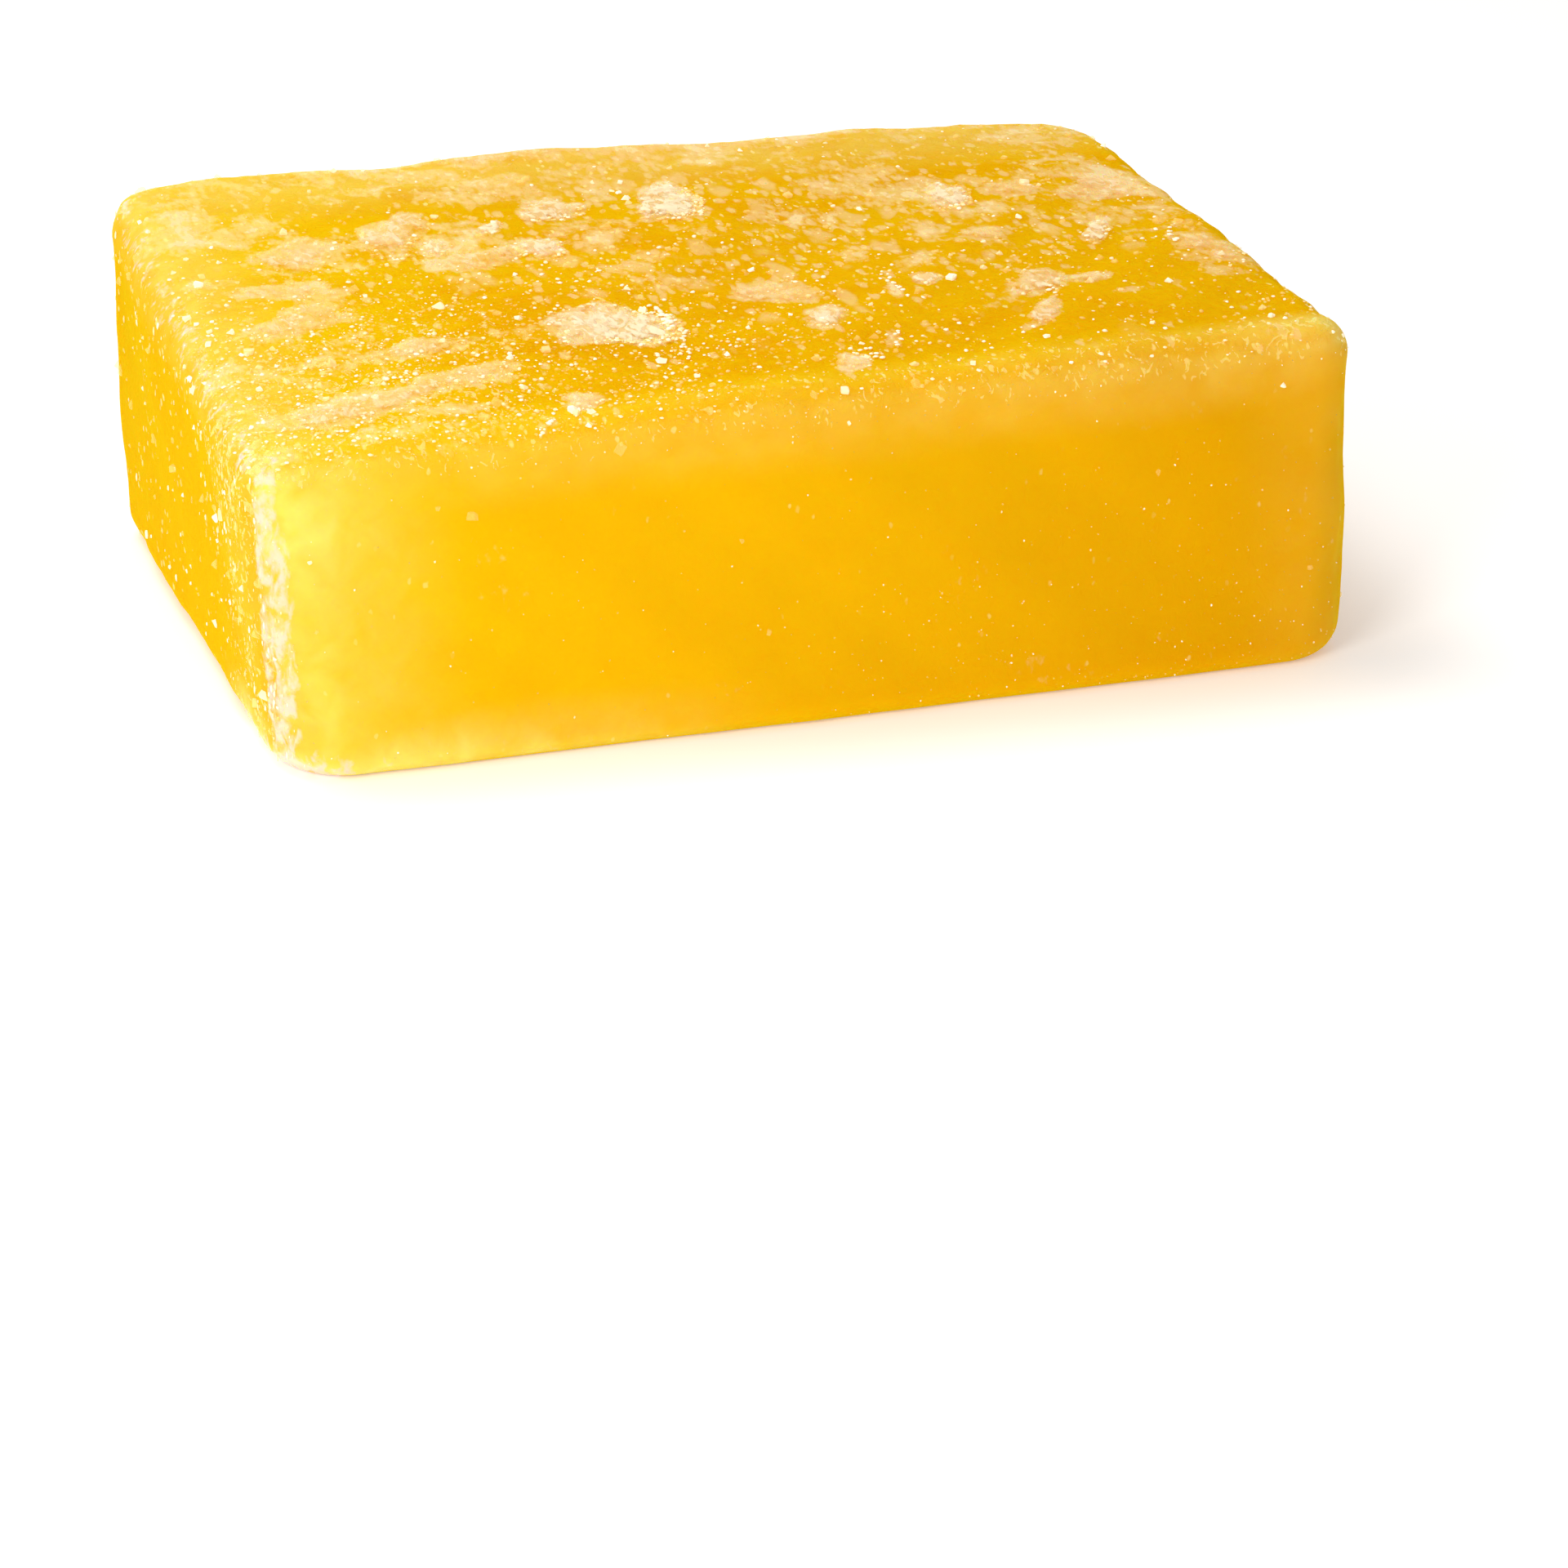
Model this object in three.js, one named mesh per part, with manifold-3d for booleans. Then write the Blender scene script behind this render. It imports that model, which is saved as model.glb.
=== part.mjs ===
// One block of candied cactus: a hand-cut slab of soft amber candy with rounded, uneven edges, a crust of
// dried syrup flakes on its top and coarse sugar crystals stuck to its skin. Millimetres, +Z up, the long
// side along X, the front face towards -Y, the origin in the middle of the face that it rests on.
import * as THREE from 'three';
import { mergeVertices } from 'three/addons/utils/BufferGeometryUtils.js';
import Module from 'manifold-3d';

// Half sizes of the plain box that the slab is worked out from
const HALF_LENGTH = 30.6;
const HALF_WIDTH = 22.2;
const HALF_HEIGHT = 9.6;

// Where the flat sides would meet if the edges were sharp, as x, y, z. The knife cuts weren't square, and the
// slab is thickest at its back left corner.
const FRONT_LEFT_BOTTOM = [-30.0, -23.3, 0];
const FRONT_RIGHT_BOTTOM = [31.3, -21.6, 0];
const BACK_LEFT_BOTTOM = [-30.7, 21.2, 0];
const BACK_RIGHT_BOTTOM = [29.8, 23.2, 0];
const FRONT_LEFT_TOP = [-31.4, -22.0, 17.4];
const FRONT_RIGHT_TOP = [31.0, -21.0, 19.4];
const BACK_LEFT_TOP = [-30.9, 21.6, 20.7];
const BACK_RIGHT_TOP = [29.9, 23.4, 19.6];

// Radii of the upright edges as seen from above, at the top and at the bottom of the slab
const UPRIGHT_RADIUS = {
  frontLeft: { top: 2.5, bottom: 4.3 },
  frontRight: { top: 2.4, bottom: 4.0 },
  backLeft: { top: 3.5, bottom: 3.6 },
  backRight: { top: 5.8, bottom: 2.4 },
};

// Radii of the lying edges round the top and round the bottom, on each side
const TOP_RADIUS = { front: 2.6, right: 1.7, back: 1.2, left: 2.5 };
const BOTTOM_RADIUS = { front: 1.3, right: 1.9, back: 1.7, left: 1.8 };

// The unevenness, as heights, wave lengths and where along its wave each starts: slow swells of the faces,
// ripples of the skin, bumps along the edges, and one long low rise of the upper back edge
const SWELL = { height: 0.11, alongX: 33, startX: 1.3, alongY: 27, startY: 0.6, aslant: 19, start: -0.7 };
const RIPPLE = { height: 0.05, alongX: 6.6, startX: 0.7, alongY: 7.1, startY: 1.9 };
const EDGE_BUMP = {
  height: 0.14, alongX: 5.2, startX: -2.0, alongY: 4.3, startY: 1.0, aslant: 2.8, start: 2.8,
};
const BACK_RISE = { height: 0.36, x: -1.4, reach: 8.8, fromY: 14, toY: 22 };

// Cells of the slab's grid along X, Y and Z, and how far they crowd towards its edges
const CELLS = [26, 18, 9];
const CROWDING = 0.36;

// The larger flakes of crust on the top: middle x and y, half length, half width and turn in degrees
const CRUST_FLAKES = [
  [-22.0, 7.6, 2.7, 2.8, 0],
  [-15.8, 9.3, 2.0, 3.6, -16],
  [-13.9, 7.0, 0.8, 1.0, -20],
  [-10.0, 9.3, 0.7, 1.0, -20],
  [-7.9, 5.3, 1.4, 1.9, -10],
  [-11.9, 4.7, 2.9, 1.7, 15],
  [-6.0, 11.5, 1.7, 2.5, -35],
  [-7.6, -8.1, 3.3, 3.5, 0],
  [1.0, 11.0, 2.3, 3.5, -10],
  [-22.6, -15.4, 6.2, 1.7, 10],
  [-17.2, -13.4, 3.0, 1.7, 8],
  [-18.6, -8.4, 2.8, 1.7, 0],
  [-23.6, -2.6, 3.2, 2.0, 30],
  [-23.6, 2.2, 3.0, 1.5, 0],
  [2.8, -5.4, 2.2, 2.3, 0],
  [4.0, -10.4, 1.3, 1.8, -10],
  [3.3, -17.8, 1.2, 1.1, 20],
  [11.1, -6.5, 0.8, 1.0, -30],
  [16.9, -8.7, 1.8, 2.2, -10],
  [19.7, -9.2, 1.5, 1.0, 20],
  [15.4, -13.9, 0.9, 2.5, -40],
  [17.0, 7.5, 1.2, 3.2, -14],
  [23.3, -0.8, 0.8, 2.3, -30],
  [26.3, 6.7, 3.2, 2.2, 0],
  [21.0, 7.9, 2.2, 1.5, 0],
  [-11.5, -18.0, 1.3, 1.0, 10],
  [28.0, -6.0, 1.6, 3.0, 8],
  [17.0, 0.2, 1.6, 1.4, 30],
];
const FLAKE_RISE = 0.18; // over the skin in the middle
const FLAKE_RIM = 0.08; // over the skin at the ragged rim
const FLAKE_ROOT = 0.3; // sunk into the slab
const FLAKE_POINTS = 16;

// Lobes of a flake's rim: how many go round it, and how deep they are
const RIM_LOBES = [[2, 0.16], [3, 0.12], [5, 0.06], [9, 0.04]];

// Coarse crystals: their count and size, the shares of them on the top and on the left end, with the rest on
// the front, how near the edges and how low they lie as shares of a half size, and how they crowd to the left
const CRYSTAL_COUNT = 130;
const CRYSTAL_SIZE = { least: 0.42, most: 0.7 };
const CRYSTAL_SINK = 0.12;
const SHARE_ON_TOP = 0.69;
const SHARE_ON_LEFT = 0.29;
const CRYSTAL_REACH = 0.97;
const CRYSTAL_LOWEST = -0.75;
const CRYSTAL_BIAS = 1.3;
const DRAWS_EACH = 7;

const clamp = (value, low, high) => Math.min(high, Math.max(low, value));
const mix = (from, to, share) => from + (to - from) * share;

// A repeatable draw between 0 and 1 for a whole number
function draw(number) {
  const wave = Math.sin(number * 12.9898) * 43758.5453;
  return wave - Math.floor(wave);
}

// Radius of the upright edges near a place of the box, each of a, b and c running from -1 to 1
function uprightRadius(a, b, c) {
  const at = (edge) => mix(edge.bottom, edge.top, (1 + c) / 2);
  const front = mix(at(UPRIGHT_RADIUS.frontLeft), at(UPRIGHT_RADIUS.frontRight), (1 + a) / 2);
  const back = mix(at(UPRIGHT_RADIUS.backLeft), at(UPRIGHT_RADIUS.backRight), (1 + a) / 2);
  return mix(front, back, (1 + b) / 2);
}

// Radius of the lying edge near a place of the box, blended round the corners
function lyingRadius(a, b, c) {
  const sides = c > 0 ? TOP_RADIUS : BOTTOM_RADIUS;
  const endWeight = a ** 8 + 1e-6;
  const faceWeight = b ** 8 + 1e-6;
  const end = a > 0 ? sides.right : sides.left;
  const face = b > 0 ? sides.back : sides.front;
  return (end * endWeight + face * faceWeight) / (endWeight + faceWeight);
}

// A place on the box's surface moved onto the rounded box, with the outward direction there
function roundedBox(a, b, c) {
  const x = a * HALF_LENGTH;
  const y = b * HALF_WIDTH;
  const z = c * HALF_HEIGHT;
  const upright = uprightRadius(a, b, c);
  const lying = lyingRadius(a, b, c);
  const inset = Math.min(HALF_LENGTH - Math.abs(x), HALF_WIDTH - Math.abs(y));
  const depth = HALF_HEIGHT - Math.abs(z);
  const across = Math.max(0, lying - inset);
  const along = Math.max(0, lying - depth);
  const reach = Math.hypot(across, along) || 1;
  const round = inset < lying && depth < lying;
  const newInset = round ? lying * (1 - across / reach) : inset;
  const newDepth = round ? lying * (1 - along / reach) : depth;
  const middleX = clamp(x, upright - HALF_LENGTH, HALF_LENGTH - upright);
  const middleY = clamp(y, upright - HALF_WIDTH, HALF_WIDTH - upright);
  const outX = (x - middleX) / (Math.hypot(x - middleX, y - middleY) || 1);
  const outY = (y - middleY) / (Math.hypot(x - middleX, y - middleY) || 1);
  const out = Math.max(0, upright - newInset);
  return {
    point: [middleX + outX * out, middleY + outY * out, Math.sign(c) * (HALF_HEIGHT - newDepth)],
    normal: [(outX * across) / reach, (outY * across) / reach, (Math.sign(c) * along) / reach],
  };
}

// The plain box's room turned into the slab's room, with its eight corners at their places
function hexahedron([x, y, z]) {
  const right = (1 + x / HALF_LENGTH) / 2;
  const back = (1 + y / HALF_WIDTH) / 2;
  const high = (1 + z / HALF_HEIGHT) / 2;
  return [0, 1, 2].map((axis) => {
    const frontBottom = mix(FRONT_LEFT_BOTTOM[axis], FRONT_RIGHT_BOTTOM[axis], right);
    const backBottom = mix(BACK_LEFT_BOTTOM[axis], BACK_RIGHT_BOTTOM[axis], right);
    const frontTop = mix(FRONT_LEFT_TOP[axis], FRONT_RIGHT_TOP[axis], right);
    const backTop = mix(BACK_LEFT_TOP[axis], BACK_RIGHT_TOP[axis], right);
    return mix(mix(frontBottom, backBottom, back), mix(frontTop, backTop, back), high);
  });
}

const wave = (place, length, start) => Math.sin((2 * Math.PI * place) / length + start);

// How far the skin stands out from the true form. The face that it rests on stays flat.
function unevenness([x, y, z], [outX, outY, outZ]) {
  const broad = wave(x, SWELL.alongX, SWELL.startX) * wave(y, SWELL.alongY, SWELL.startY);
  const swell = SWELL.height * (broad + wave(x - 0.9 * y + 1.2 * z, SWELL.aslant, SWELL.start));
  const rippleX = wave(x + 0.5 * z, RIPPLE.alongX, RIPPLE.startX);
  const ripple = RIPPLE.height * rippleX * wave(y - 0.7 * z, RIPPLE.alongY, RIPPLE.startY);
  const bumpX = wave(x + 0.7 * z, EDGE_BUMP.alongX, EDGE_BUMP.startX);
  const bumpY = wave(y - 0.6 * z, EDGE_BUMP.alongY, EDGE_BUMP.startY);
  const edge = 1 - Math.max(Math.abs(outX), Math.abs(outY), Math.abs(outZ));
  const bump = EDGE_BUMP.height * edge * (bumpX + bumpY + wave(x + y, EDGE_BUMP.aslant, EDGE_BUMP.start));
  const offFloor = clamp(1 + outZ, 0, 1);
  const rise = BACK_RISE.height * Math.exp(-(((x - BACK_RISE.x) / BACK_RISE.reach) ** 4));
  const nearBack = clamp((y - BACK_RISE.fromY) / (BACK_RISE.toY - BACK_RISE.fromY), 0, 1) * clamp(outZ, 0, 1);
  return offFloor * (swell + ripple + bump) + rise * nearBack;
}

// The slab's skin at a place of the plain box's surface
function skin(a, b, c) {
  const { point, normal } = roundedBox(a, b, c);
  const stand = unevenness(point, normal);
  const place = hexahedron(point);
  return {
    point: new THREE.Vector3(...place.map((value, axis) => value + stand * normal[axis])),
    normal: new THREE.Vector3(...normal).normalize(),
  };
}

function manifoldOf(wasm, geometry) {
  geometry.deleteAttribute('normal');
  geometry.deleteAttribute('uv');
  const merged = mergeVertices(geometry, 1e-4);
  const vertProperties = new Float32Array(merged.attributes.position.array);
  const triVerts = new Uint32Array(merged.index.array);
  return new wasm.Manifold(new wasm.Mesh({ numProp: 3, vertProperties, triVerts }));
}

function slabGeometry() {
  const geometry = new THREE.BoxGeometry(2, 2, 2, ...CELLS);
  const position = geometry.attributes.position;
  const crowd = (value) => value * (1 + CROWDING * (1 - value * value));
  for (let i = 0; i < position.count; i += 1) {
    const { point } = skin(crowd(position.getX(i)), crowd(position.getY(i)), crowd(position.getZ(i)));
    position.setXYZ(i, point.x, point.y, point.z);
  }
  return geometry;
}

// How far a flake's ragged rim lies from its middle, as a share of its half sizes
function raggedRim(angle, seed) {
  return RIM_LOBES.reduce((share, [count, depth], index) => {
    const start = 2 * Math.PI * draw(seed + index);
    return share + depth * Math.sin(count * angle + start);
  }, 1);
}

// A thin flake of crust that lies on the top and follows it: rings from the middle of its upper face, over
// its rim, to the middle of its under side
function flakeGeometry([x, y, halfLength, halfWidth, turn], seed) {
  const rings = [
    { share: 0.55, rise: FLAKE_RISE },
    { share: 1, rise: FLAKE_RIM },
    { share: 0.96, rise: -FLAKE_ROOT },
  ];
  const lean = THREE.MathUtils.degToRad(turn);
  const vertices = [];
  const place = (angle, share, rise) => {
    const rim = raggedRim(angle, seed) * share;
    const u = Math.cos(angle) * halfLength * rim;
    const v = Math.sin(angle) * halfWidth * rim;
    const a = clamp((x + u * Math.cos(lean) - v * Math.sin(lean)) / HALF_LENGTH, -0.99, 0.99);
    const b = clamp((y + u * Math.sin(lean) + v * Math.cos(lean)) / HALF_WIDTH, -0.99, 0.99);
    const { point, normal } = skin(a, b, 1);
    vertices.push(...point.addScaledVector(normal, rise).toArray());
  };
  rings.forEach(({ share, rise }) => {
    for (let i = 0; i < FLAKE_POINTS; i += 1) {
      place((i / FLAKE_POINTS) * 2 * Math.PI, share, rise);
    }
  });
  place(0, 0, FLAKE_RISE);
  place(0, 0, -FLAKE_ROOT);
  const topMiddle = rings.length * FLAKE_POINTS;
  const underMiddle = topMiddle + 1;
  const lastRing = (rings.length - 1) * FLAKE_POINTS;
  const indices = [];
  for (let i = 0; i < FLAKE_POINTS; i += 1) {
    const next = (i + 1) % FLAKE_POINTS;
    indices.push(topMiddle, i, next);
    for (let ring = 0; ring < lastRing; ring += FLAKE_POINTS) {
      indices.push(ring + i, ring + FLAKE_POINTS + i, ring + FLAKE_POINTS + next);
      indices.push(ring + i, ring + FLAKE_POINTS + next, ring + next);
    }
    indices.push(underMiddle, lastRing + next, lastRing + i);
  }
  const geometry = new THREE.BufferGeometry();
  geometry.setAttribute('position', new THREE.Float32BufferAttribute(vertices, 3));
  geometry.setIndex(indices);
  return geometry;
}

// A place for a crystal on the top, the left end or the front, by three draws from 0 to 1
function crystalPlace(face, first, second) {
  const along = mix(-CRYSTAL_REACH, CRYSTAL_REACH, first ** CRYSTAL_BIAS);
  const across = mix(-CRYSTAL_REACH, CRYSTAL_REACH, second ** CRYSTAL_BIAS);
  const height = mix(CRYSTAL_LOWEST, CRYSTAL_REACH, second);
  if (face < SHARE_ON_TOP) {
    return skin(along, across, 1);
  }
  if (face < SHARE_ON_TOP + SHARE_ON_LEFT) {
    return skin(-1, along, height);
  }
  return skin(along, -1, height);
}

// A blunt crystal, turned any way and half sunk into the skin
function crystalGeometry(number) {
  const draws = Array.from({ length: DRAWS_EACH }, (_, index) => draw(number * DRAWS_EACH + index));
  const { point, normal } = crystalPlace(draws[0], draws[1], draws[2]);
  const size = mix(CRYSTAL_SIZE.least, CRYSTAL_SIZE.most, draws[3] ** 2);
  const geometry = new THREE.BoxGeometry(size, size * 0.8, size * 0.7);
  geometry.rotateX(Math.PI * draws[4]);
  geometry.rotateY(Math.PI * draws[5]);
  geometry.rotateZ(Math.PI * draws[6]);
  const middle = point.addScaledVector(normal, -CRYSTAL_SINK * size);
  geometry.translate(middle.x, middle.y, middle.z);
  return geometry;
}

const wasm = await Module();
wasm.setup();

let block = manifoldOf(wasm, slabGeometry());
CRUST_FLAKES.forEach((flake, index) => {
  block = block.add(manifoldOf(wasm, flakeGeometry(flake, 10 * index)));
});
for (let number = 1; number <= CRYSTAL_COUNT; number += 1) {
  block = block.add(manifoldOf(wasm, crystalGeometry(number)));
}

const joined = block.getMesh();
const blockGeometry = new THREE.BufferGeometry();
blockGeometry.setAttribute('position', new THREE.BufferAttribute(joined.vertProperties, 3));
blockGeometry.setIndex(new THREE.BufferAttribute(joined.triVerts, 1));
blockGeometry.computeVertexNormals();

const candy = new THREE.MeshStandardMaterial({ color: 0xf4b615, roughness: 0.45, metalness: 0 });
const blockMesh = new THREE.Mesh(blockGeometry, candy);
blockMesh.name = 'block';

const group = new THREE.Group();
group.add(blockMesh);

export default group;
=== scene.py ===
"""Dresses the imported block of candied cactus: soft translucent candy, a crust of dried syrup, and sugar."""

import math

import bmesh
import bpy
import numpy as np
from mathutils import Matrix, Vector


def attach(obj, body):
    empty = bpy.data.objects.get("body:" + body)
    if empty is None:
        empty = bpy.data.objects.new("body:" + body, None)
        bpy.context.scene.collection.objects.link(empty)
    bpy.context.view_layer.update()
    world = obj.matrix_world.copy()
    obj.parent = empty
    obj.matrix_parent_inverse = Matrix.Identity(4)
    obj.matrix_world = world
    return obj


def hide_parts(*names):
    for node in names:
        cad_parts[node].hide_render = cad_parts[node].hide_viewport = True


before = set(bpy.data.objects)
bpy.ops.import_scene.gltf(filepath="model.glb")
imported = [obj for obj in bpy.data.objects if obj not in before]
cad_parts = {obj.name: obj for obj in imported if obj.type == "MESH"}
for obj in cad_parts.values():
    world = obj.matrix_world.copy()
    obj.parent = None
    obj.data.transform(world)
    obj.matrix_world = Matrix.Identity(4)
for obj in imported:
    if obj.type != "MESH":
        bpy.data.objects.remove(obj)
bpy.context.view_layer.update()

bl_info = {
    "name": "Candied cactus block",
    "version": (1, 0, 0),
    "blender": (4, 5, 0),
    "location": "3D view > Sidebar > Candied cactus",
    "description": "Builds a block of candied cactus with its crust and its sugar",
    "category": "Add Mesh",
}

MM = 0.001

# The form, in millimetres as in the part's own source: half sizes of the plain box that it is worked out
# from, and the places where the flat sides would meet if the edges were sharp
HALF = np.array((30.6, 22.2, 9.6))
FRONT_LEFT_BOTTOM = (-30.0, -23.3, 0)
FRONT_RIGHT_BOTTOM = (31.3, -21.6, 0)
BACK_LEFT_BOTTOM = (-30.7, 21.2, 0)
BACK_RIGHT_BOTTOM = (29.8, 23.2, 0)
FRONT_LEFT_TOP = (-31.4, -22.0, 17.4)
FRONT_RIGHT_TOP = (31.0, -21.0, 19.4)
BACK_LEFT_TOP = (-30.9, 21.6, 20.7)
BACK_RIGHT_TOP = (29.9, 23.4, 19.6)

# Radii of the upright edges at the top and at the bottom, and of the lying edges round the top and bottom
UPRIGHT_RADIUS = {
    "front left": (2.5, 4.3),
    "front right": (2.4, 4.0),
    "back left": (3.5, 3.6),
    "back right": (5.8, 2.4),
}
TOP_RADIUS = {"front": 2.6, "right": 1.7, "back": 1.2, "left": 2.5}
BOTTOM_RADIUS = {"front": 1.3, "right": 1.9, "back": 1.7, "left": 1.8}

# The unevenness, as heights, wave lengths and where along its wave each starts: slow swells of the faces,
# ripples of the skin, bumps along the edges, and one long low rise of the upper back edge
SWELL = {"height": 0.11, "along x": (33, 1.3), "along y": (27, 0.6), "aslant": (19, -0.7)}
RIPPLE = {"height": 0.05, "along x": (6.6, 0.7), "along y": (7.1, 1.9)}
EDGE_BUMP = {"height": 0.14, "along x": (5.2, -2.0), "along y": (4.3, 1.0), "aslant": (2.8, 2.8)}
BACK_RISE = {"height": 0.36, "x": -1.4, "reach": 8.8, "from y": 14, "to y": 22}

# Cuts of the block's grid along X, Y and Z before each cell is cut in four, and how far the cells crowd
# towards its edges
GRID_CUTS = (100, 73, 30)
CROWDING = 0.36

# Flakes of crust on the top: middle x and y, half length, half width, turn in degrees, and how white each is
CRUST_FLAKES = (
    (-22.0, 7.6, 2.7, 2.8, 0, 0.62),
    (-15.8, 9.3, 2.0, 3.6, -16, 0.66),
    (-13.9, 7.0, 0.8, 1.0, -20, 0.95),
    (-10.0, 9.3, 0.7, 1.0, -20, 0.9),
    (-7.9, 5.3, 1.4, 1.9, -10, 0.85),
    (-11.9, 4.7, 2.9, 1.7, 15, 0.55),
    (-6.0, 11.5, 1.7, 2.5, -35, 0.85),
    (-7.6, -8.1, 3.3, 3.5, 0, 1.0),
    (1.0, 11.0, 2.3, 3.5, -10, 1.0),
    (-22.6, -15.4, 6.2, 1.7, 10, 0.62),
    (-17.2, -13.4, 3.0, 1.7, 8, 0.5),
    (-18.6, -8.4, 2.8, 1.7, 0, 0.5),
    (-23.6, -2.6, 3.2, 2.0, 30, 0.5),
    (-23.6, 2.2, 3.0, 1.5, 0, 0.5),
    (2.8, -5.4, 2.2, 2.3, 0, 0.5),
    (4.0, -10.4, 1.3, 1.8, -10, 0.8),
    (3.3, -17.8, 1.2, 1.1, 20, 0.7),
    (11.1, -6.5, 0.8, 1.0, -30, 0.9),
    (16.9, -8.7, 1.8, 2.2, -10, 0.68),
    (19.7, -9.2, 1.5, 1.0, 20, 0.6),
    (15.4, -13.9, 0.9, 2.5, -40, 0.7),
    (17.0, 7.5, 1.2, 3.2, -14, 0.9),
    (23.3, -0.8, 0.8, 2.3, -30, 0.85),
    (26.3, 6.7, 3.2, 2.2, 0, 0.6),
    (21.0, 7.9, 2.2, 1.5, 0, 0.5),
    (-11.5, -18.0, 1.3, 1.0, 10, 0.65),
    (28.0, -6.0, 1.6, 3.0, 8, 0.55),
    (17.0, 0.2, 1.6, 1.4, 30, 0.5),
)
FLAKE_RISE = 0.18
FLAKE_RIM = 0.08
FLAKE_SEED_STEP = 10

# Lobes of a rim: how many go round it and how deep they are. Only flakes have the fine ones, whose third
# number is how far they turn from flake to flake, in radians.
RIM_LOBES = ((2, 0.16), (3, 0.12), (5, 0.06), (9, 0.04))
FINE_LOBES = ((13, 0.05, 1), (21, 0.04, 2))

# A flake's points round each ring, its rings as shares of its size, how high it stands at some of them as
# shares of its rise, or of how deep its rim is sunk where they are below nought, and how near the block's
# edges it comes as a share of a half size
FLAKE_SPOKES = 72
FLAKE_RINGS = (0.0, 0.14, 0.28, 0.42, 0.55, 0.66, 0.76, 0.85, 0.93, 1.0, 1.04)
FLAKE_PROFILE = {0: 1, 0.55: 1, 0.93: 0.6, 1.0: 0.2, 1.04: -1}
FLAKE_REACH = 0.985

# Strings of white clots beside the flakes: x and y of both ends, how many, and their length. Each clot lies
# a little off its string, and is a little shorter or longer.
CLOT_STRINGS = (
    (-4.4, -5.6, -4.2, -9.6, 16, 0.5),
    (-4.2, -9.6, -4.7, -14.3, 12, 0.32),
    (8.9, -4.4, 9.1, -8.9, 14, 0.3),
    (6.8, -13.3, 6.4, -16.0, 8, 0.34),
    (16.9, -8.6, 17.3, -10.9, 8, 0.36),
    (4.3, -16.2, 4.8, -17.6, 7, 0.36),
    (-10.0, 8.4, -9.6, 10.4, 7, 0.4),
    (23.0, -2.4, 24.2, 1.2, 9, 0.34),
    (27.2, -2.4, 26.4, -5.0, 8, 0.34),
    (-21.8, -11.9, -20.4, -12.4, 4, 0.42),
    (16.6, 5.2, 17.6, 10.6, 9, 0.4),
)
STRING_SPREAD = 0.22
STRING_LENGTHS = (0.7, 1.2)

# Where the grains of the crust lie: which way from a flake's middle most of them do and how far they spread,
# in degrees, how deep in from its rim and how far over it they go, how they crowd to the rim and to the
# whiter flakes, and how near the block's edges they come as a share of a half size
GRAIN_WAY = -35
GRAIN_SPREAD = 50
GRAIN_DEPTH = 0.3
GRAIN_OVERHANG = 1.02
GRAIN_CROWDING = 1.5
WHITE_FLAKE_BIAS = 4
GRAIN_REACH = 0.98

# The grains themselves: length in millimetres, width and thickness as shares of it, lean in radians, and how
# far they stand out as a share of how deep a flake's rim is sunk
GRAIN_SIZE = (0.14, 0.42)
GRAIN_WIDTH = (0.6, 1.2)
GRAIN_THICKNESS = 0.5
GRAIN_TILT = 0.25
GRAIN_STAND = (0.2, 1.6)

# Coarse crystals, drawn in the same order as those of the solid. The first ones are the solid's own, and the
# rest are smaller, most of all on the left end. Then come how deep they are sunk as a share of their size,
# the shares of them on the top and on the left end, how near the edges and how low they lie as shares of a
# half size, how they crowd to the left, and how many draws each takes.
CRYSTAL_COUNT = 130
EXTRA_SHARE = 0.62
EXTRA_SHARE_ON_LEFT = 0.4
CRYSTAL_SINK = 0.12
SHARE_ON_TOP = 0.69
SHARE_ON_LEFT = 0.29
CRYSTAL_REACH = 0.97
CRYSTAL_LOWEST = -0.75
CRYSTAL_BIAS = 1.3
DRAWS_EACH = 7

# Fine grains: places tried for each, how rare the longest are, how far they stand out, how much shorter
# those of the front are, and how they are squashed along X, Y and Z on the left end and on the top
FINE_TRIES = 12
FINE_BIAS = 2.2
FINE_STAND = 0.05
FINE_SHARE_ON_FRONT = 0.48
FINE_SQUASH_ON_LEFT = (0.5, 0.6, 1.9)
FINE_SQUASH_ON_TOP = (1.2, 1.2, 0.6)

# A face belongs to one side of the block where it looks that way by more than this
SIDEWAYS = 0.6

# One crystal of unit length: its bevel, its length, width and thickness, and how uneven its corners are
CRYSTAL_BEVEL = 0.16
CRYSTAL_SHAPE = (1, 0.8, 0.7)
CRYSTAL_CORNERS = (0.78, 1.22)

# Starts of the random draws
COARSE_SEED = 5
FINE_SEED = 41
GRAIN_SEED = 7

# Lumps of the skin: the soft ones' grain and the fine ones' height as shares of the settings, and the number
# of steps in which they fade out
SOFT_LUMP_GRAIN = 4
FINE_LUMP_HEIGHT = 0.8
WEIGHT_STEPS = 20

# How much of an edge's length lies along the axis that it runs along, how low a point is that rests on the
# floor, and how near to each other two points are that are one
ALIGNED = 0.9
RESTING = 1e-6
SAME_POINT = 1e-7

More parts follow.
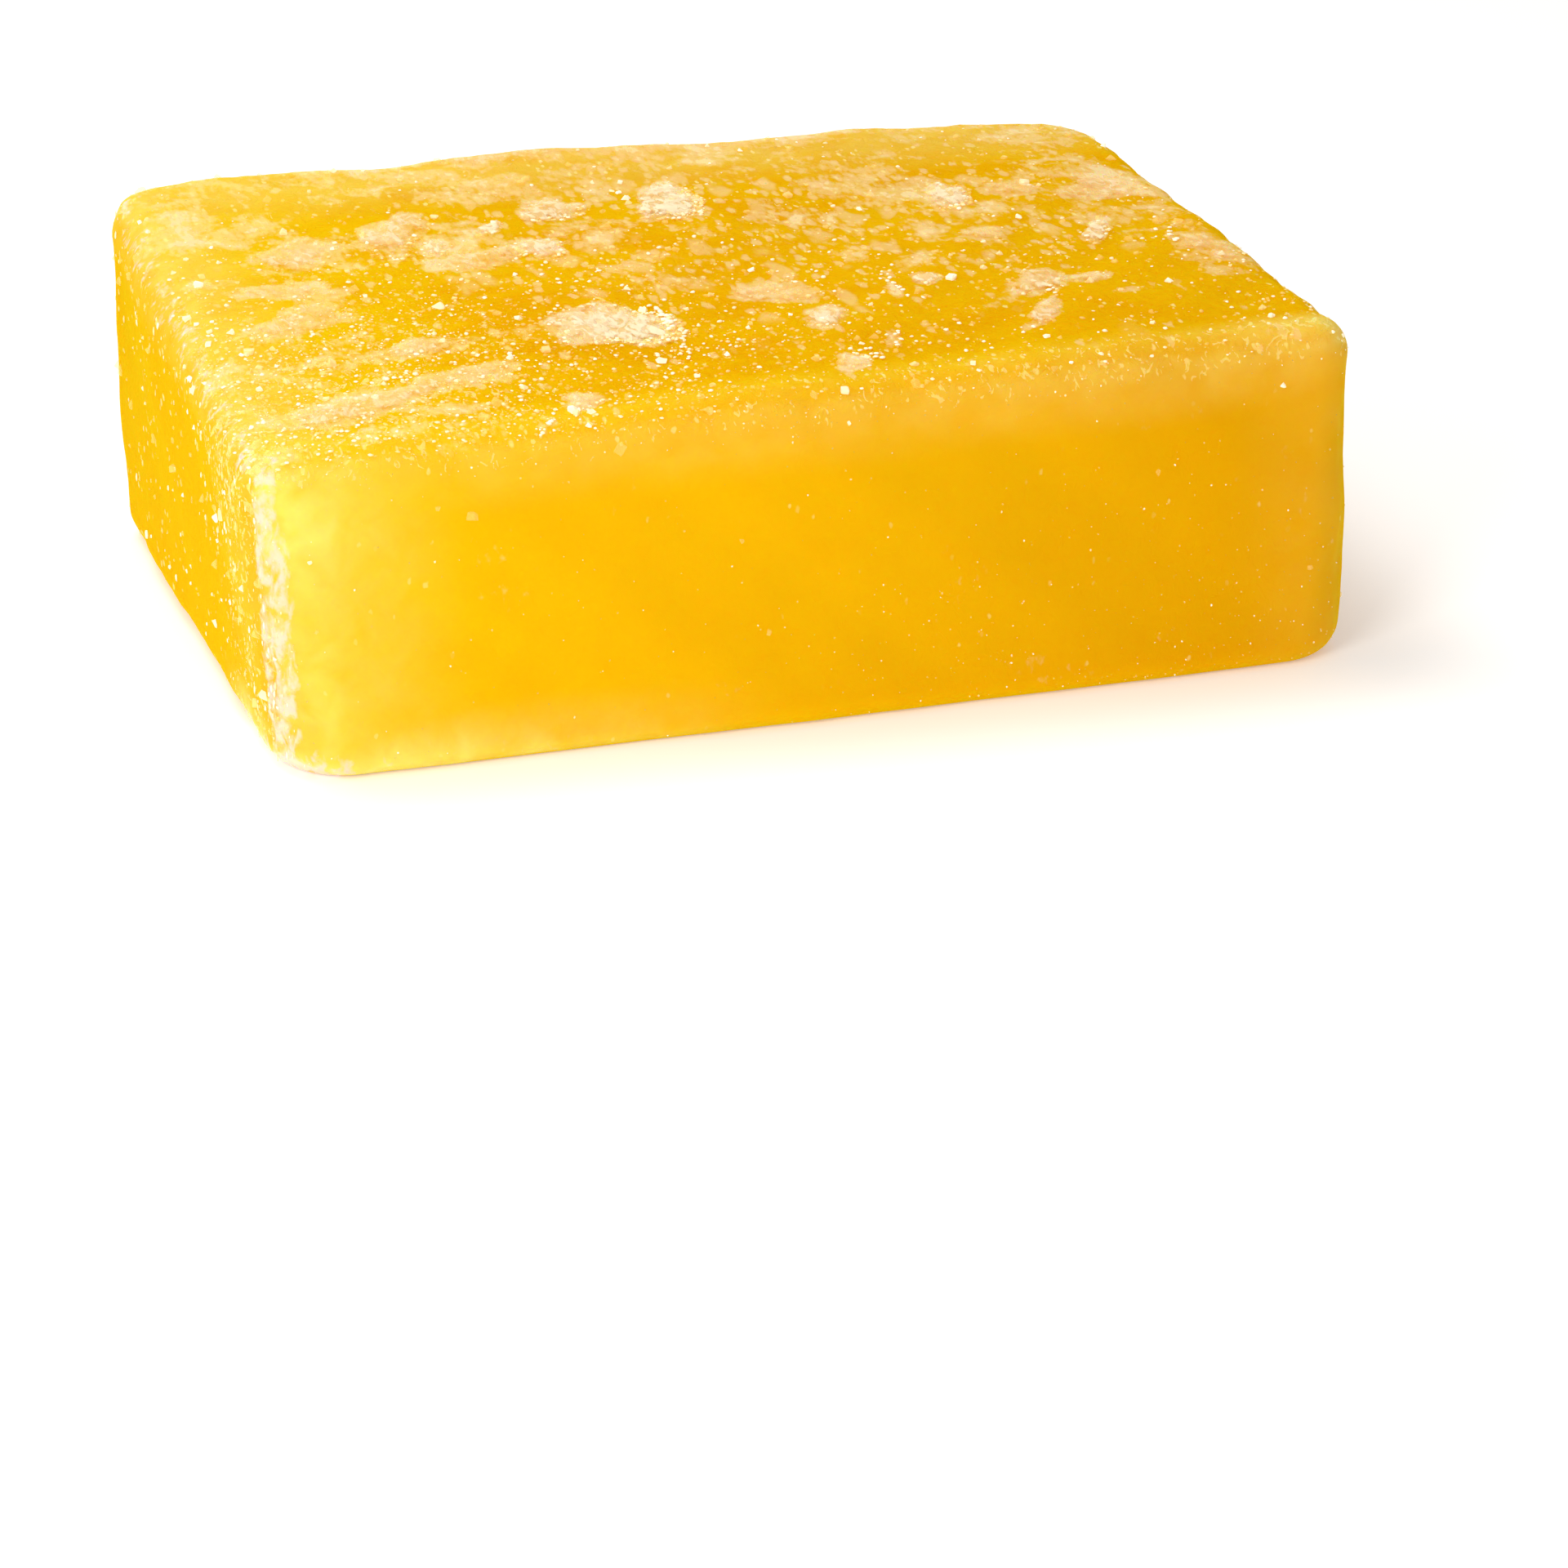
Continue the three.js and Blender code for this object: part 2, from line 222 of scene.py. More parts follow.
# Thin veils of dried sugar on the top, and two long strips of painted sheen along the back: middle x and y,
# half length, half width, turn in degrees, strength
VEILS = (
    (-11.6, 10.2, 2.6, 2.3, 0, 0.5),
    (-12.5, -8.2, 3.5, 1.8, 0, 0.42),
    (-24.5, -9.3, 4.0, 2.2, 0, 0.4),
    (-21.2, -0.5, 1.8, 3.4, 0, 0.4),
    (-19.5, -17.3, 2.8, 1.4, 0, 0.5),
    (-27.3, -16.0, 2.2, 1.0, 0, 0.5),
    (-3.7, -2.4, 2.6, 1.1, 12, 0.42),
    (-7.7, 16.5, 2.4, 1.3, 0, 0.62),
    (-12.7, 18.2, 3.4, 3.2, 0, 0.42),
    (-3.7, 18.7, 3.0, 3.6, 0, 0.45),
    (-27.2, 15.2, 2.0, 1.3, 0, 0.6),
    (-27.6, 11.3, 2.4, 1.0, 0, 0.55),
    (-24.0, 10.8, 1.4, 1.1, 0, 0.5),
    (-28.0, 4.3, 1.1, 1.2, 0, 0.45),
    (-2.7, 13.6, 0.9, 2.2, -20, 0.5),
    (-4.5, 7.0, 3.8, 3.4, 0, 0.36),
    (-21.2, -19.6, 1.7, 1.1, 0, 0.5),
    (-28.5, -21.0, 1.6, 2.0, 0, 0.5),
    (8.9, -7.2, 0.4, 2.4, 0, 0.75),
    (8.6, -1.5, 1.4, 1.9, -10, 0.42),
    (12.3, -3.0, 2.2, 2.2, 0, 0.4),
    (14.4, -11.0, 1.7, 0.9, 0, 0.4),
    (6.6, -14.5, 0.5, 1.5, -5, 0.6),
    (13.8, 11.5, 3.8, 4.4, -10, 0.52),
    (12.4, 5.5, 3.2, 3.0, 0, 0.45),
    (17.9, 4.0, 1.4, 2.0, 0, 0.6),
    (7.3, 6.0, 0.5, 1.4, -15, 0.65),
    (9.3, 5.8, 0.6, 1.2, -15, 0.55),
    (14.5, 0.8, 2.2, 2.0, -20, 0.42),
    (29.0, 6.0, 1.5, 3.0, 0, 0.5),
    (27.2, 9.0, 1.0, 2.2, -20, 0.65),
    (27.0, -4.8, 1.3, 1.9, -35, 0.62),
    (28.8, -9.5, 1.2, 2.2, 0, 0.45),
    (26.6, -10.4, 0.9, 0.8, 0, 0.5),
    (26.2, 11.8, 2.6, 2.2, 0, 0.38),
    (25.2, 17.5, 3.4, 3.4, 0, 0.42),
    (5.8, 18.6, 2.2, 2.8, -10, 0.55),
    (21.0, -12.1, 1.0, 0.6, 0, 0.5),
    (-28.5, -8.0, 0.8, 1.0, 0, 0.55),
    # Painted sheen: two long pale strips along the back of the top, in place of its grazing reflection
    (0.0, 21.5, 32.0, 1.6, 0, 0.55),
    (0.0, 17.5, 32.0, 5.0, 0, 0.27),
    (18.0, 3.0, 12.0, 9.0, 0, 0.26),
    (-3.0, 3.0, 8.0, 6.0, 0, 0.2),
    (-24.0, -12.0, 8.0, 12.0, 0, 0.27),
    (-10.0, 15.5, 9.0, 3.0, 0, 0.42),
    (7.0, 7.5, 4.0, 2.5, 0, 0.33),
    (-12.5, 7.5, 3.5, 1.5, 0, 0.4),
    (13.0, 15.0, 5.0, 3.0, 0, 0.38),
    (25.0, 10.5, 5.0, 3.5, 0, 0.5),
    (-26.0, 13.5, 4.5, 5.0, 0, 0.52),
    (-20.0, 7.0, 7.0, 3.5, 0, 0.36),
    (15.0, 4.5, 6.0, 3.0, 0, 0.4),
    (26.0, 1.0, 4.0, 5.0, 0, 0.36),
    (28.0, -6.5, 2.5, 4.0, 0, 0.45),
    (28.5, 19.5, 3.0, 3.0, 0, 0.45),
)
VEIL_SEED = 500

# Scales along X, Y and Z for patterns whose marks are longest from front to back
LONG_BACK = (1.15, 0.6, 0.8)

# Cloudy patterns of the candy and of its crust: the size of their blobs in metres, how fine their detail is,
# how far they are pulled about, and their scales along X, Y and Z
CANDY_NOISE = {
    "drift": {"size": 0.012},
    "cloud": {"size": 0.006, "detail": 2, "distortion": 0.4, "stretch": (0.7, 1.2, 1.2)},
    "milk": {"size": 0.0024, "detail": 2, "distortion": 0.6},
    "fine": {"size": 0.00045, "detail": 2, "stretch": LONG_BACK},
    "ragged": {"size": 0.0019, "detail": 4, "distortion": 0.8, "stretch": (0.9, 0.9, 0.9)},
    "broad": {"size": 0.0045, "detail": 1, "distortion": 0.4, "stretch": (0.7, 1.1, 1.1)},
    "clots": {"size": 0.0008, "detail": 3, "distortion": 0.8, "stretch": (1, 1, 0.55)},
    "curls": {"size": 0.00058, "detail": 2, "distortion": 1.4, "stretch": LONG_BACK},
    "worms": {"size": 0.0011, "detail": 2, "distortion": 2.6},
}
CRUST_NOISE = {
    "ragged": {"size": 0.0018, "detail": 4, "distortion": 0.6, "stretch": LONG_BACK},
    "fine": {"size": 0.0004, "detail": 4, "stretch": LONG_BACK},
    "thick": {"size": 0.0016, "detail": 4, "distortion": 0.3, "stretch": LONG_BACK},
    "grit": {"size": 0.0006, "detail": 3, "distortion": 1.0, "stretch": LONG_BACK},
    "white": {"size": 0.0013, "detail": 3, "stretch": LONG_BACK},
}

# Scattered marks of the skin: the size and warp of their cells in metres, and how far from a cell's middle
# its mark goes, as a share of its size
FLECKS = {"size": 0.0008, "warp": 0.0006, "fill": 0.5}
BLOTS = {"size": 0.0019, "warp": 0.0016, "fill": 0.5}
SPECKS = {"size": 0.0005, "warp": 0.0003, "fill": 0.36}

# From how much luck and share together a cell has a mark, and the share of its reach where a mark is full
LUCKY = (1.0, 1.06)
MARK_CORE = 0.5

# Cells of the crust's clots and of the skin's pits, in metres, and how much finer than the cells the noise
# is that bends them
CRUST_CLOTS = {"size": 0.0005, "warp": 0.0003, "stretch": LONG_BACK}
PIT_SIZE = 0.00055
BEND_FINENESS = 1.4

# Soft steps of the candy's finishes, from none to full: those named ends and middle by metres along X, the
# others by how strong their pattern is
CANDY_STEPS = {
    # Left end and right end are partly the candy's own tone, partly painted light from the left and painted
    # shade at the right
    "left end": (0.0, -0.033),
    "right end": (-0.005, 0.032),
    "middle": (-0.027, -0.008),
    "past the middle": (0.014, 0.028),
    "pale veil's end": (-0.02, -0.004),
    "cloud": (0.42, 0.7),
    "thin veil": (0.28, 0.56),
    "thick veil": (0.58, 0.7),
    "thin frost": (0.3, 0.6),
    "thick frost": (0.5, 0.8),
    "frosted place": (0.0, 0.2),
    "curl": (0.56, 0.6),
    "worms": (0.42, 0.58),
}
CRUST_STEPS = {
    "cover": (0.05, 0.6),
    "inside the rim": (1.0, 0.9),
    "thick": (0.38, 0.62),
    "grit": (0.44, 0.6),
    "white": (0.55, 0.8),
}

# Sugar: from how much luck a crystal turns white, and from how much it hides the candy, and its roughness
WHITE_SUGAR = (0.55, 0.95)
SOLID_SUGAR = (0.45, 0.98)
COARSE_ROUGHNESS = 0.25
FINE_ROUGHNESS = 0.3
GRAIN_ROUGHNESS = 0.55

# How much each finish hides what is under it, where it is full
HIDES = {
    # The right end is deeper amber, partly its own tone and partly painted shade
    "right end": 0.48,
    # The painted shade of the sides, as deeper amber
    "painted side shade": 0.85,
    "thin veil": 0.48,
    "thick veil": 0.55,
    "curl": 0.58,
    "fleck": 0.5,
    "blot": 0.4,
    "speck": 0.6,
}

# Depths of the finest relief, which the shaders give, in metres
CANDY_RELIEF = 0.00007
CRUST_RELIEF = 0.00005

# How far light spreads in the candy, in metres, and the share of it for red, green and blue
LIGHT_REACH = 0.003
LIGHT_SPREAD = (1.0, 0.42, 0.06)

# Soft steps by the outward direction, from none to full: for what faces one way, for what belongs to the
# front or the left end, and for what is off the floor
FACING = (0.3, 0.8)
SIDE = (0.4, 0.8)
OFF_FLOOR = (-0.98, -0.6)

# Which way the frosted upright edge looks at some heights over the block's middle, in degrees from the front
# towards the left
FROST_TURN = {-8.2: 64, -3.9: 54, 1.3: 46, 6.2: 41}

# The stage, in metres: each light's place, width, power and colour, and the point that both look at
FLOOR_WIDTH = 6
SKY_COLOUR = (1.0, 0.99, 0.98, 1)
SKY_STRENGTH = 0.5
LIGHTS = {
    "key": ((-0.102, -0.135, 0.08), 0.07, 0.14, (1.0, 0.99, 0.96)),
    "overhead": ((-0.08, 0.08, 0.28), 0.16, 0.43, (1.0, 0.99, 0.97)),
}
LIT_POINT = (0, 0, 0.01)
SENSOR_WIDTH = 36
NEAREST_SEEN = 0.01


def mix(low, high, share):
    return low + (high - low) * share


def smooth(low, high, values):
    """From 0 at low to 1 at high, with soft ends."""
    share = np.clip((values - low) / (high - low), 0, 1)
    return share * share * (3 - 2 * share)


def draw(number):
    """A repeatable draw between 0 and 1 for a whole number."""
    wave = math.sin(number * 12.9898) * 43758.5453
    return wave - math.floor(wave)


def upright_radius(places):
    """Radius of the upright edges near places of the box, each given by three numbers from -1 to 1."""
    right, back, high = ((1 + places) / 2).T
    at = {name: mix(bottom, top, high) for name, (top, bottom) in UPRIGHT_RADIUS.items()}
    front_edge = mix(at["front left"], at["front right"], right)
    back_edge = mix(at["back left"], at["back right"], right)
    return mix(front_edge, back_edge, back)


def lying_radius(places):
    """Radius of the lying edge near places of the box, blended round the corners."""
    along, across, high = places.T
    side = {name: np.where(high > 0, TOP_RADIUS[name], BOTTOM_RADIUS[name]) for name in TOP_RADIUS}
    end = np.where(along > 0, side["right"], side["left"])
    face = np.where(across > 0, side["back"], side["front"])
    end_weight = along**8 + 1e-6
    face_weight = across**8 + 1e-6
    return (end * end_weight + face * face_weight) / (end_weight + face_weight)


def rounded_box(places):
    """Places on the box's surface moved onto the rounded box, with the outward directions there."""
    points = places * HALF
    upright = upright_radius(places)
    lying = lying_radius(places)
    room = HALF - np.abs(points)
    inset = np.minimum(room[:, 0], room[:, 1])
    depth = room[:, 2]
    across = np.maximum(0, lying - inset)
    along = np.maximum(0, lying - depth)
    reach = np.hypot(across, along)
    reach[reach == 0] = 1
    turned = (inset < lying) & (depth < lying)
    inset = np.where(turned, lying * (1 - across / reach), inset)
    depth = np.where(turned, lying * (1 - along / reach), depth)
    limit = HALF[:2] - upright[:, None]
    middle = np.clip(points[:, :2], -limit, limit)
    out = points[:, :2] - middle
    length = np.hypot(out[:, 0], out[:, 1])[:, None]
    out = out / np.where(length == 0, 1, length)
    stretch = np.maximum(0, upright - inset)[:, None]
    side = np.sign(places[:, 2])
    points = np.column_stack((middle + out * stretch, side * (HALF[2] - depth)))
    normals = np.column_stack((out * (across / reach)[:, None], side * along / reach))
    return points, normals


def hexahedron(points):
    """The plain box's room turned into the block's room, with its eight corners at their places."""
    right, back, high = ((1 + points / HALF) / 2).T[:, :, None]
    front_bottom = mix(np.array(FRONT_LEFT_BOTTOM), np.array(FRONT_RIGHT_BOTTOM), right)
    back_bottom = mix(np.array(BACK_LEFT_BOTTOM), np.array(BACK_RIGHT_BOTTOM), right)
    front_top = mix(np.array(FRONT_LEFT_TOP), np.array(FRONT_RIGHT_TOP), right)
    back_top = mix(np.array(BACK_LEFT_TOP), np.array(BACK_RIGHT_TOP), right)
    return mix(mix(front_bottom, back_bottom, back), mix(front_top, back_top, back), high)


def wave(place, length_and_start):
    length, start = length_and_start
    return np.sin(2 * math.pi * place / length + start)


def unevenness(points, normals):
    """How far the skin stands out from the true form. The face that it rests on stays flat."""
    x, y, z = points.T
    broad = wave(x, SWELL["along x"]) * wave(y, SWELL["along y"])
    swell = SWELL["height"] * (broad + wave(x - 0.9 * y + 1.2 * z, SWELL["aslant"]))
    crossed = wave(x + 0.5 * z, RIPPLE["along x"]) * wave(y - 0.7 * z, RIPPLE["along y"])
    straight = wave(x + 0.7 * z, EDGE_BUMP["along x"]) + wave(y - 0.6 * z, EDGE_BUMP["along y"])
    edge = 1 - np.abs(normals).max(axis=1)
    bump = EDGE_BUMP["height"] * edge * (straight + wave(x + y, EDGE_BUMP["aslant"]))
    off_floor = np.clip(1 + normals[:, 2], 0, 1)
    rise = BACK_RISE["height"] * np.exp(-(((x - BACK_RISE["x"]) / BACK_RISE["reach"]) ** 4))
    back_share = (y - BACK_RISE["from y"]) / (BACK_RISE["to y"] - BACK_RISE["from y"])
    near_back = np.clip(back_share, 0, 1) * np.clip(normals[:, 2], 0, 1)
    return off_floor * (swell + RIPPLE["height"] * crossed + bump) + rise * near_back


def skin(places):
    """The block's skin at places of the plain box's surface, in millimetres, and its outward directions."""
    points, normals = rounded_box(places)
    stand = unevenness(points, normals)
    normals = normals / np.maximum(np.linalg.norm(normals, axis=1, keepdims=True), 1e-9)
    return hexahedron(points) + stand[:, None] * normals, normals


def ragged_rim(angles, seed):
    """How far a flake's ragged rim lies from its middle, as a share of its half sizes."""
    share = np.ones_like(angles)
    for index, (count, depth) in enumerate(RIM_LOBES):
        share = share + depth * np.sin(count * angles + 2 * math.pi * draw(seed + index))
    return share


def patch_reach(x, y, patch, seed):
    """How far points lie from the middle of a patch on the top, where 1 is its ragged rim."""
    middle_x, middle_y, half_length, half_width, turn = patch[:5]
    lean = math.radians(turn)
    u = ((x - middle_x) * math.cos(lean) + (y - middle_y) * math.sin(lean)) / half_length
    v = ((y - middle_y) * math.cos(lean) - (x - middle_x) * math.sin(lean)) / half_width
    return np.hypot(u, v) / ragged_rim(np.arctan2(v, u), seed)


def places_on_top(x, y, u, v, lean, reach):
    """Places on the box's top, at distances along and across a leaning flake from its middle."""
    along = (x + u * np.cos(lean) - v * np.sin(lean)) / HALF[0]
    across = (y + u * np.sin(lean) + v * np.cos(lean)) / HALF[1]
    within = np.clip(np.column_stack((along, across)), -reach, reach)
    return np.column_stack((within, np.ones(len(within))))


# Meshes


def deselect_all():
    for item in bpy.context.selected_objects:
        item.select_set(False)


def only_select(item):
    deselect_all()
    item.select_set(True)
    bpy.context.view_layer.objects.active = item


def vertex_array(mesh):
    values = np.empty(len(mesh.vertices) * 3)
    mesh.vertices.foreach_get("co", values)
    return values.reshape(-1, 3)


def set_vertices(mesh, points):
    mesh.vertices.foreach_set("co", np.asarray(points, dtype=np.float32).ravel())
    mesh.update()


def add_attribute(mesh, name, values):
    attribute = mesh.attributes.new(name, "FLOAT", "POINT")
    attribute.data.foreach_set("value", np.asarray(values, dtype=np.float32))


def mesh_object(name, points, faces):
    """A new object at the origin from points in metres and faces of one length."""
    mesh = bpy.data.meshes.new(name)
    mesh.from_pydata(points.tolist(), [], faces.tolist())
    mesh.validate()
    item = bpy.data.objects.new(name, mesh)
    bpy.context.collection.objects.link(item)
    return item


def finish_piece(item, material):
    """Gives a piece its material and slot, and lets it ride on the block's one body."""
    item.data.materials.clear()
    item.data.materials.append(material)
    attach(item, "root")


def cut_cube(item, cuts):
    """Cuts the cube into a grid, by so many cuts along each axis."""
    bpy.ops.object.mode_set(mode="EDIT")
    bpy.ops.mesh.select_mode(type="EDGE")
    for axis, count in enumerate(cuts):
        cage = bmesh.from_edit_mesh(item.data)
        for edge in cage.edges:
            way = edge.verts[1].co - edge.verts[0].co
            edge.select_set(abs(way[axis]) > ALIGNED * way.length)
        cage.select_flush_mode()
        bmesh.update_edit_mesh(item.data)
        bpy.ops.mesh.subdivide(number_cuts=count)
        bpy.ops.mesh.select_all(action="DESELECT")
    bpy.ops.mesh.select_all(action="SELECT")
    bpy.ops.mesh.subdivide(number_cuts=1)
    bpy.ops.object.mode_set(mode="OBJECT")


def join_resting_face(item):
    """Makes one face of all the flat cells that the block rests on."""
    bpy.ops.object.mode_set(mode="EDIT")
    bpy.ops.mesh.select_mode(type="FACE")
    bpy.ops.mesh.select_all(action="DESELECT")
    cage = bmesh.from_edit_mesh(item.data)
    for face in cage.faces:
        face.select_set(all(corner.co.z < RESTING for corner in face.verts))
    bmesh.update_edit_mesh(item.data)
    bpy.ops.mesh.dissolve_faces(use_verts=False)
    bpy.ops.object.mode_set(mode="OBJECT")


def displace(item, name, grain, height, group):
    """Roughens an object along its normals by a cloud pattern, where its vertex group lets it."""
    clouds = bpy.data.textures.new(name, "CLOUDS")
    clouds.noise_scale = grain
    clouds.noise_depth = 2
    modifier = item.modifiers.new(name, "DISPLACE")
    modifier.texture = clouds
    modifier.texture_coords = "LOCAL"
    modifier.strength = height
    modifier.mid_level = 0.5
    modifier.vertex_group = group
    only_select(item)
    bpy.ops.object.modifier_apply(modifier=name)


def weigh_vertices(item, name, weights):
    """A vertex group with a weight for each vertex, in a few steps."""
    group = item.vertex_groups.new(name=name)
    steps = np.rint(np.clip(weights, 0, 1) * WEIGHT_STEPS).astype(int)
    for step in range(1, WEIGHT_STEPS + 1):
        members = np.flatnonzero(steps == step)
        if len(members):
            group.add(members.tolist(), step / WEIGHT_STEPS, "REPLACE")


# Shaders


class Socket:
    """An output socket of a material's nodes. Sums and products of sockets and numbers add Math nodes."""

    def __init__(self, surface, link):
        self.surface = surface
        self.link = link

    def math(self, operation, first, second):
        settings = {"operation": operation}
        return self.surface.add("ShaderNodeMath", settings, {0: first, 1: second})

    def __add__(self, other):
        return self.math("ADD", self, other)

    def __radd__(self, other):
        return self.math("ADD", other, self)

    def __sub__(self, other):
        return self.math("SUBTRACT", self, other)

    def __rsub__(self, other):
        return self.math("SUBTRACT", other, self)

    def __mul__(self, other):
        return self.math("MULTIPLY", self, other)

    def __rmul__(self, other):
        return self.math("MULTIPLY", other, self)


class Surface:
    """A material in the making, with one method that adds any node."""

    def __init__(self, name):
        self.material = bpy.data.materials.new(name)
        self.material.use_nodes = True
        self.tree = self.material.node_tree
        self.tree.nodes.clear()

    def add(self, kind, settings=None, inputs=None, output=0):
        """Adds a node of a kind, sets it, fills its inputs by name or number, and gives one output."""
        node = self.tree.nodes.new(kind)
        for name, value in (settings or {}).items():
            setattr(node, name, value)
        for name, value in (inputs or {}).items():
            if isinstance(value, Socket):
                self.tree.links.new(value.link, node.inputs[name])
            else:
                node.inputs[name].default_value = value
        if not node.outputs:
            return None
        return Socket(self, node.outputs[output])

    def place(self):
        return self.add("ShaderNodeTexCoord", output="Object")

    def attribute(self, name):
        return self.add("ShaderNodeAttribute", {"attribute_name": name}, output="Fac")

    def noise(self, size, detail=3.0, distortion=0.0, stretch=(1, 1, 1)):
        """Cloudy noise from 0 to 1, with blobs of a size in metres."""
        place = self.stretched(stretch)
        inputs = {"Vector": place, "Scale": 1 / size, "Detail": detail, "Distortion": distortion}
        return self.add("ShaderNodeTexNoise", None, inputs, "Fac")

    def stretched(self, stretch):
        """The place on the piece, with each axis scaled."""
        inputs = {"Vector": self.place(), "Scale": stretch}
        return self.add("ShaderNodeMapping", {"vector_type": "POINT"}, inputs)

    def cells(self, size, warp=0.0, stretch=(1, 1, 1)):
        """Cells of a size in metres, bent by a warp: how far their middles are, and each one's luck."""
        place = self.stretched(stretch)
        if warp:
            inputs = {"Vector": place, "Scale": BEND_FINENESS / size, "Detail": 1}
            push = self.add("ShaderNodeTexNoise", None, inputs, "Color")
            inputs = {0: push, 1: (warp, warp, warp), 2: place}
            place = self.add("ShaderNodeVectorMath", {"operation": "MULTIPLY_ADD"}, inputs, "Vector")
        distance = self.add("ShaderNodeTexVoronoi", None, {"Vector": place, "Scale": 1 / size}, "Distance")
        colour = Socket(self, distance.link.node.outputs["Color"])
        return distance, self.add("ShaderNodeSeparateColor", None, {"Color": colour}, "Red")

    def marks(self, share, size, warp, fill):
        """Ragged marks, in a share of the cells, and filling them so far from their middles."""
        distance, luck = self.cells(size, warp, LONG_BACK)
        return self.step(luck + share, *LUCKY) * self.step(distance, fill, MARK_CORE * fill)

    def step(self, value, low, high):
        """From 0 at low to 1 at high, with soft ends."""
        settings = {"interpolation_type": "SMOOTHSTEP"}
        return self.add("ShaderNodeMapRange", settings, {0: value, 1: low, 2: high})

    def blend(self, share, first, second):
        """A colour between two colours, each of them a socket or three numbers."""
        settings = {"data_type": "RGBA", "clamp_factor": True}
        ends = [end if isinstance(end, Socket) else (*end, 1) for end in (first, second)]
        return self.add("ShaderNodeMix", settings, {0: share, 6: ends[0], 7: ends[1]}, 2)

    def finish(self, values, bump=None, depth=0):
        """Adds the Principled shader with its values, its bump of a depth in metres, and the output."""
        if bump is not None:
            inputs = {"Strength": 1.0, "Distance": depth, "Height": bump}
            values["Normal"] = self.add("ShaderNodeBump", None, inputs)
        shader = self.add("ShaderNodeBsdfPrincipled", {"subsurface_method": "RANDOM_WALK"}, values)
        self.add("ShaderNodeOutputMaterial", None, {"Surface": shader})
        return self.material


def candy_material(colours):
    """Translucent amber candy: cloudy inside, paler where sugar has dried on it, grainy on top."""
    surface = Surface("Amber candy")
    noise = {name: surface.noise(**settings) for name, settings in CANDY_NOISE.items()}
    east = surface.add("ShaderNodeSeparateXYZ", None, {"Vector": surface.place()}, "X")
    drift = east + 0.006 * (noise["drift"] - 0.5)
    steps = CANDY_STEPS

    # The clear candy: paler at its left end and deeper at its right end, partly its own tone and partly
    # painted light from the left and painted shade at the right; deeper on its shaded sides as painted shade,
    # and in clouds
    left_end = surface.step(drift, *steps["left end"])
    colour = surface.blend(left_end, colours.amber, colours.pale_amber)
    right_end = surface.step(drift, *steps["right end"]) * HIDES["right end"]
    colour = surface.blend(right_end, colour, colours.deep_amber)
    # Painted shade: the left end, and less so the back and the right end, are painted a deeper amber where
    # shade falls
    shaded = surface.attribute("shaded") * HIDES["painted side shade"]
    colour = surface.blend(shaded, colour, colours.painted_shade_amber)
    cloud = surface.step(noise["cloud"], *steps["cloud"])
    upper = surface.attribute("upper")
    past_middle = surface.step(drift, *steps["past the middle"])
    middle = surface.step(drift, *steps["middle"]) * (1.0 - 0.45 * past_middle)
    deep = (0.12 + 0.13 * upper) * cloud + upper * (0.25 + 0.38 * middle * (0.6 * cloud + 1.0))
    colour = surface.blend(deep, colour, colours.deep_amber)

    # Milkiness inside, partly painted light: a glow at the front left edge and its foot, and a painted sheen
    # along the back of the top
    milky = surface.attribute("haze") * (1.9 * noise["milk"] - 0.1)
    colour = surface.blend(milky, colour, colours.haze)

    # Veils of dried sugar, thin ones and thick ones inside them, with a painted sheen along the back of the
    # top
    fine = noise["fine"] - 0.5
    raggedness = 1.1 * (noise["ragged"] - 0.5) + 0.6 * (noise["broad"] - 0.5) + 0.7 * fine
    veil = surface.attribute("veil") + raggedness
    thin = surface.step(veil, *steps["thin veil"])
    thick = surface.step(veil, *steps["thick veil"])
    pale_end = surface.step(drift, *steps["pale veil's end"])
    veil_colour = surface.blend(pale_end, colours.pale_veil, colours.veil)
    colour = surface.blend(thin * HIDES["thin veil"], colour, veil_colour)
    colour = surface.blend(thick * HIDES["thick veil"], colour, colours.crust)

    # The frosted edges, and a painted glow in the frost colour along the foot of the front left edge
    frosted = surface.attribute("frost")
    frosting = frosted + 1.9 * (noise["clots"] - 0.5) + 0.8 * fine
    thin_frost = surface.step(frosting, *steps["thin frost"])
    thick_frost = surface.step(frosting, *steps["thick frost"])
    frosted_place = surface.step(frosted, *steps["frosted place"])
    frost = (0.45 * thin_frost + 0.5 * thick_frost) * frosted_place
    colour = surface.blend(frost, colour, colours.frost)

    # Small marks of sugar in the skin
    curling = noise["curls"] + 0.22 * (surface.attribute("curls") - 1.0)
    curl = surface.step(curling, *steps["curl"])
    colour = surface.blend(curl * HIDES["curl"], colour, colours.pale_sugar)
    mottle = surface.attribute("mottle")
    fleck = surface.marks(0.6 * mottle, **FLECKS)
    blot = surface.marks(0.5 * mottle - 0.06, **BLOTS)
    colour = surface.blend(fleck * HIDES["fleck"], colour, veil_colour)
    colour = surface.blend(blot * HIDES["blot"], colour, veil_colour)
    grain = surface.attribute("grain")
    speck = surface.marks(0.2 * grain, **SPECKS)
    colour = surface.blend(speck * HIDES["speck"], colour, colours.pale_sugar)

    # The finest relief
    worms = surface.step(noise["worms"], *steps["worms"])
    pits, _ = surface.cells(PIT_SIZE)
    height = grain * (0.5 * pits + 0.35 * worms) + 0.2 * noise["fine"] + 0.5 * curl
    values = {
        "Base Color": colour,
        "Roughness": 0.4 + 0.15 * thin + 0.2 * frost,
        "IOR": 1.45,
        "Specular IOR Level": 0.0,
        "Subsurface Weight": 1.0,
        "Subsurface Radius": LIGHT_SPREAD,
        "Subsurface Scale": LIGHT_REACH,
    }
    return surface.finish(values, height, CANDY_RELIEF)


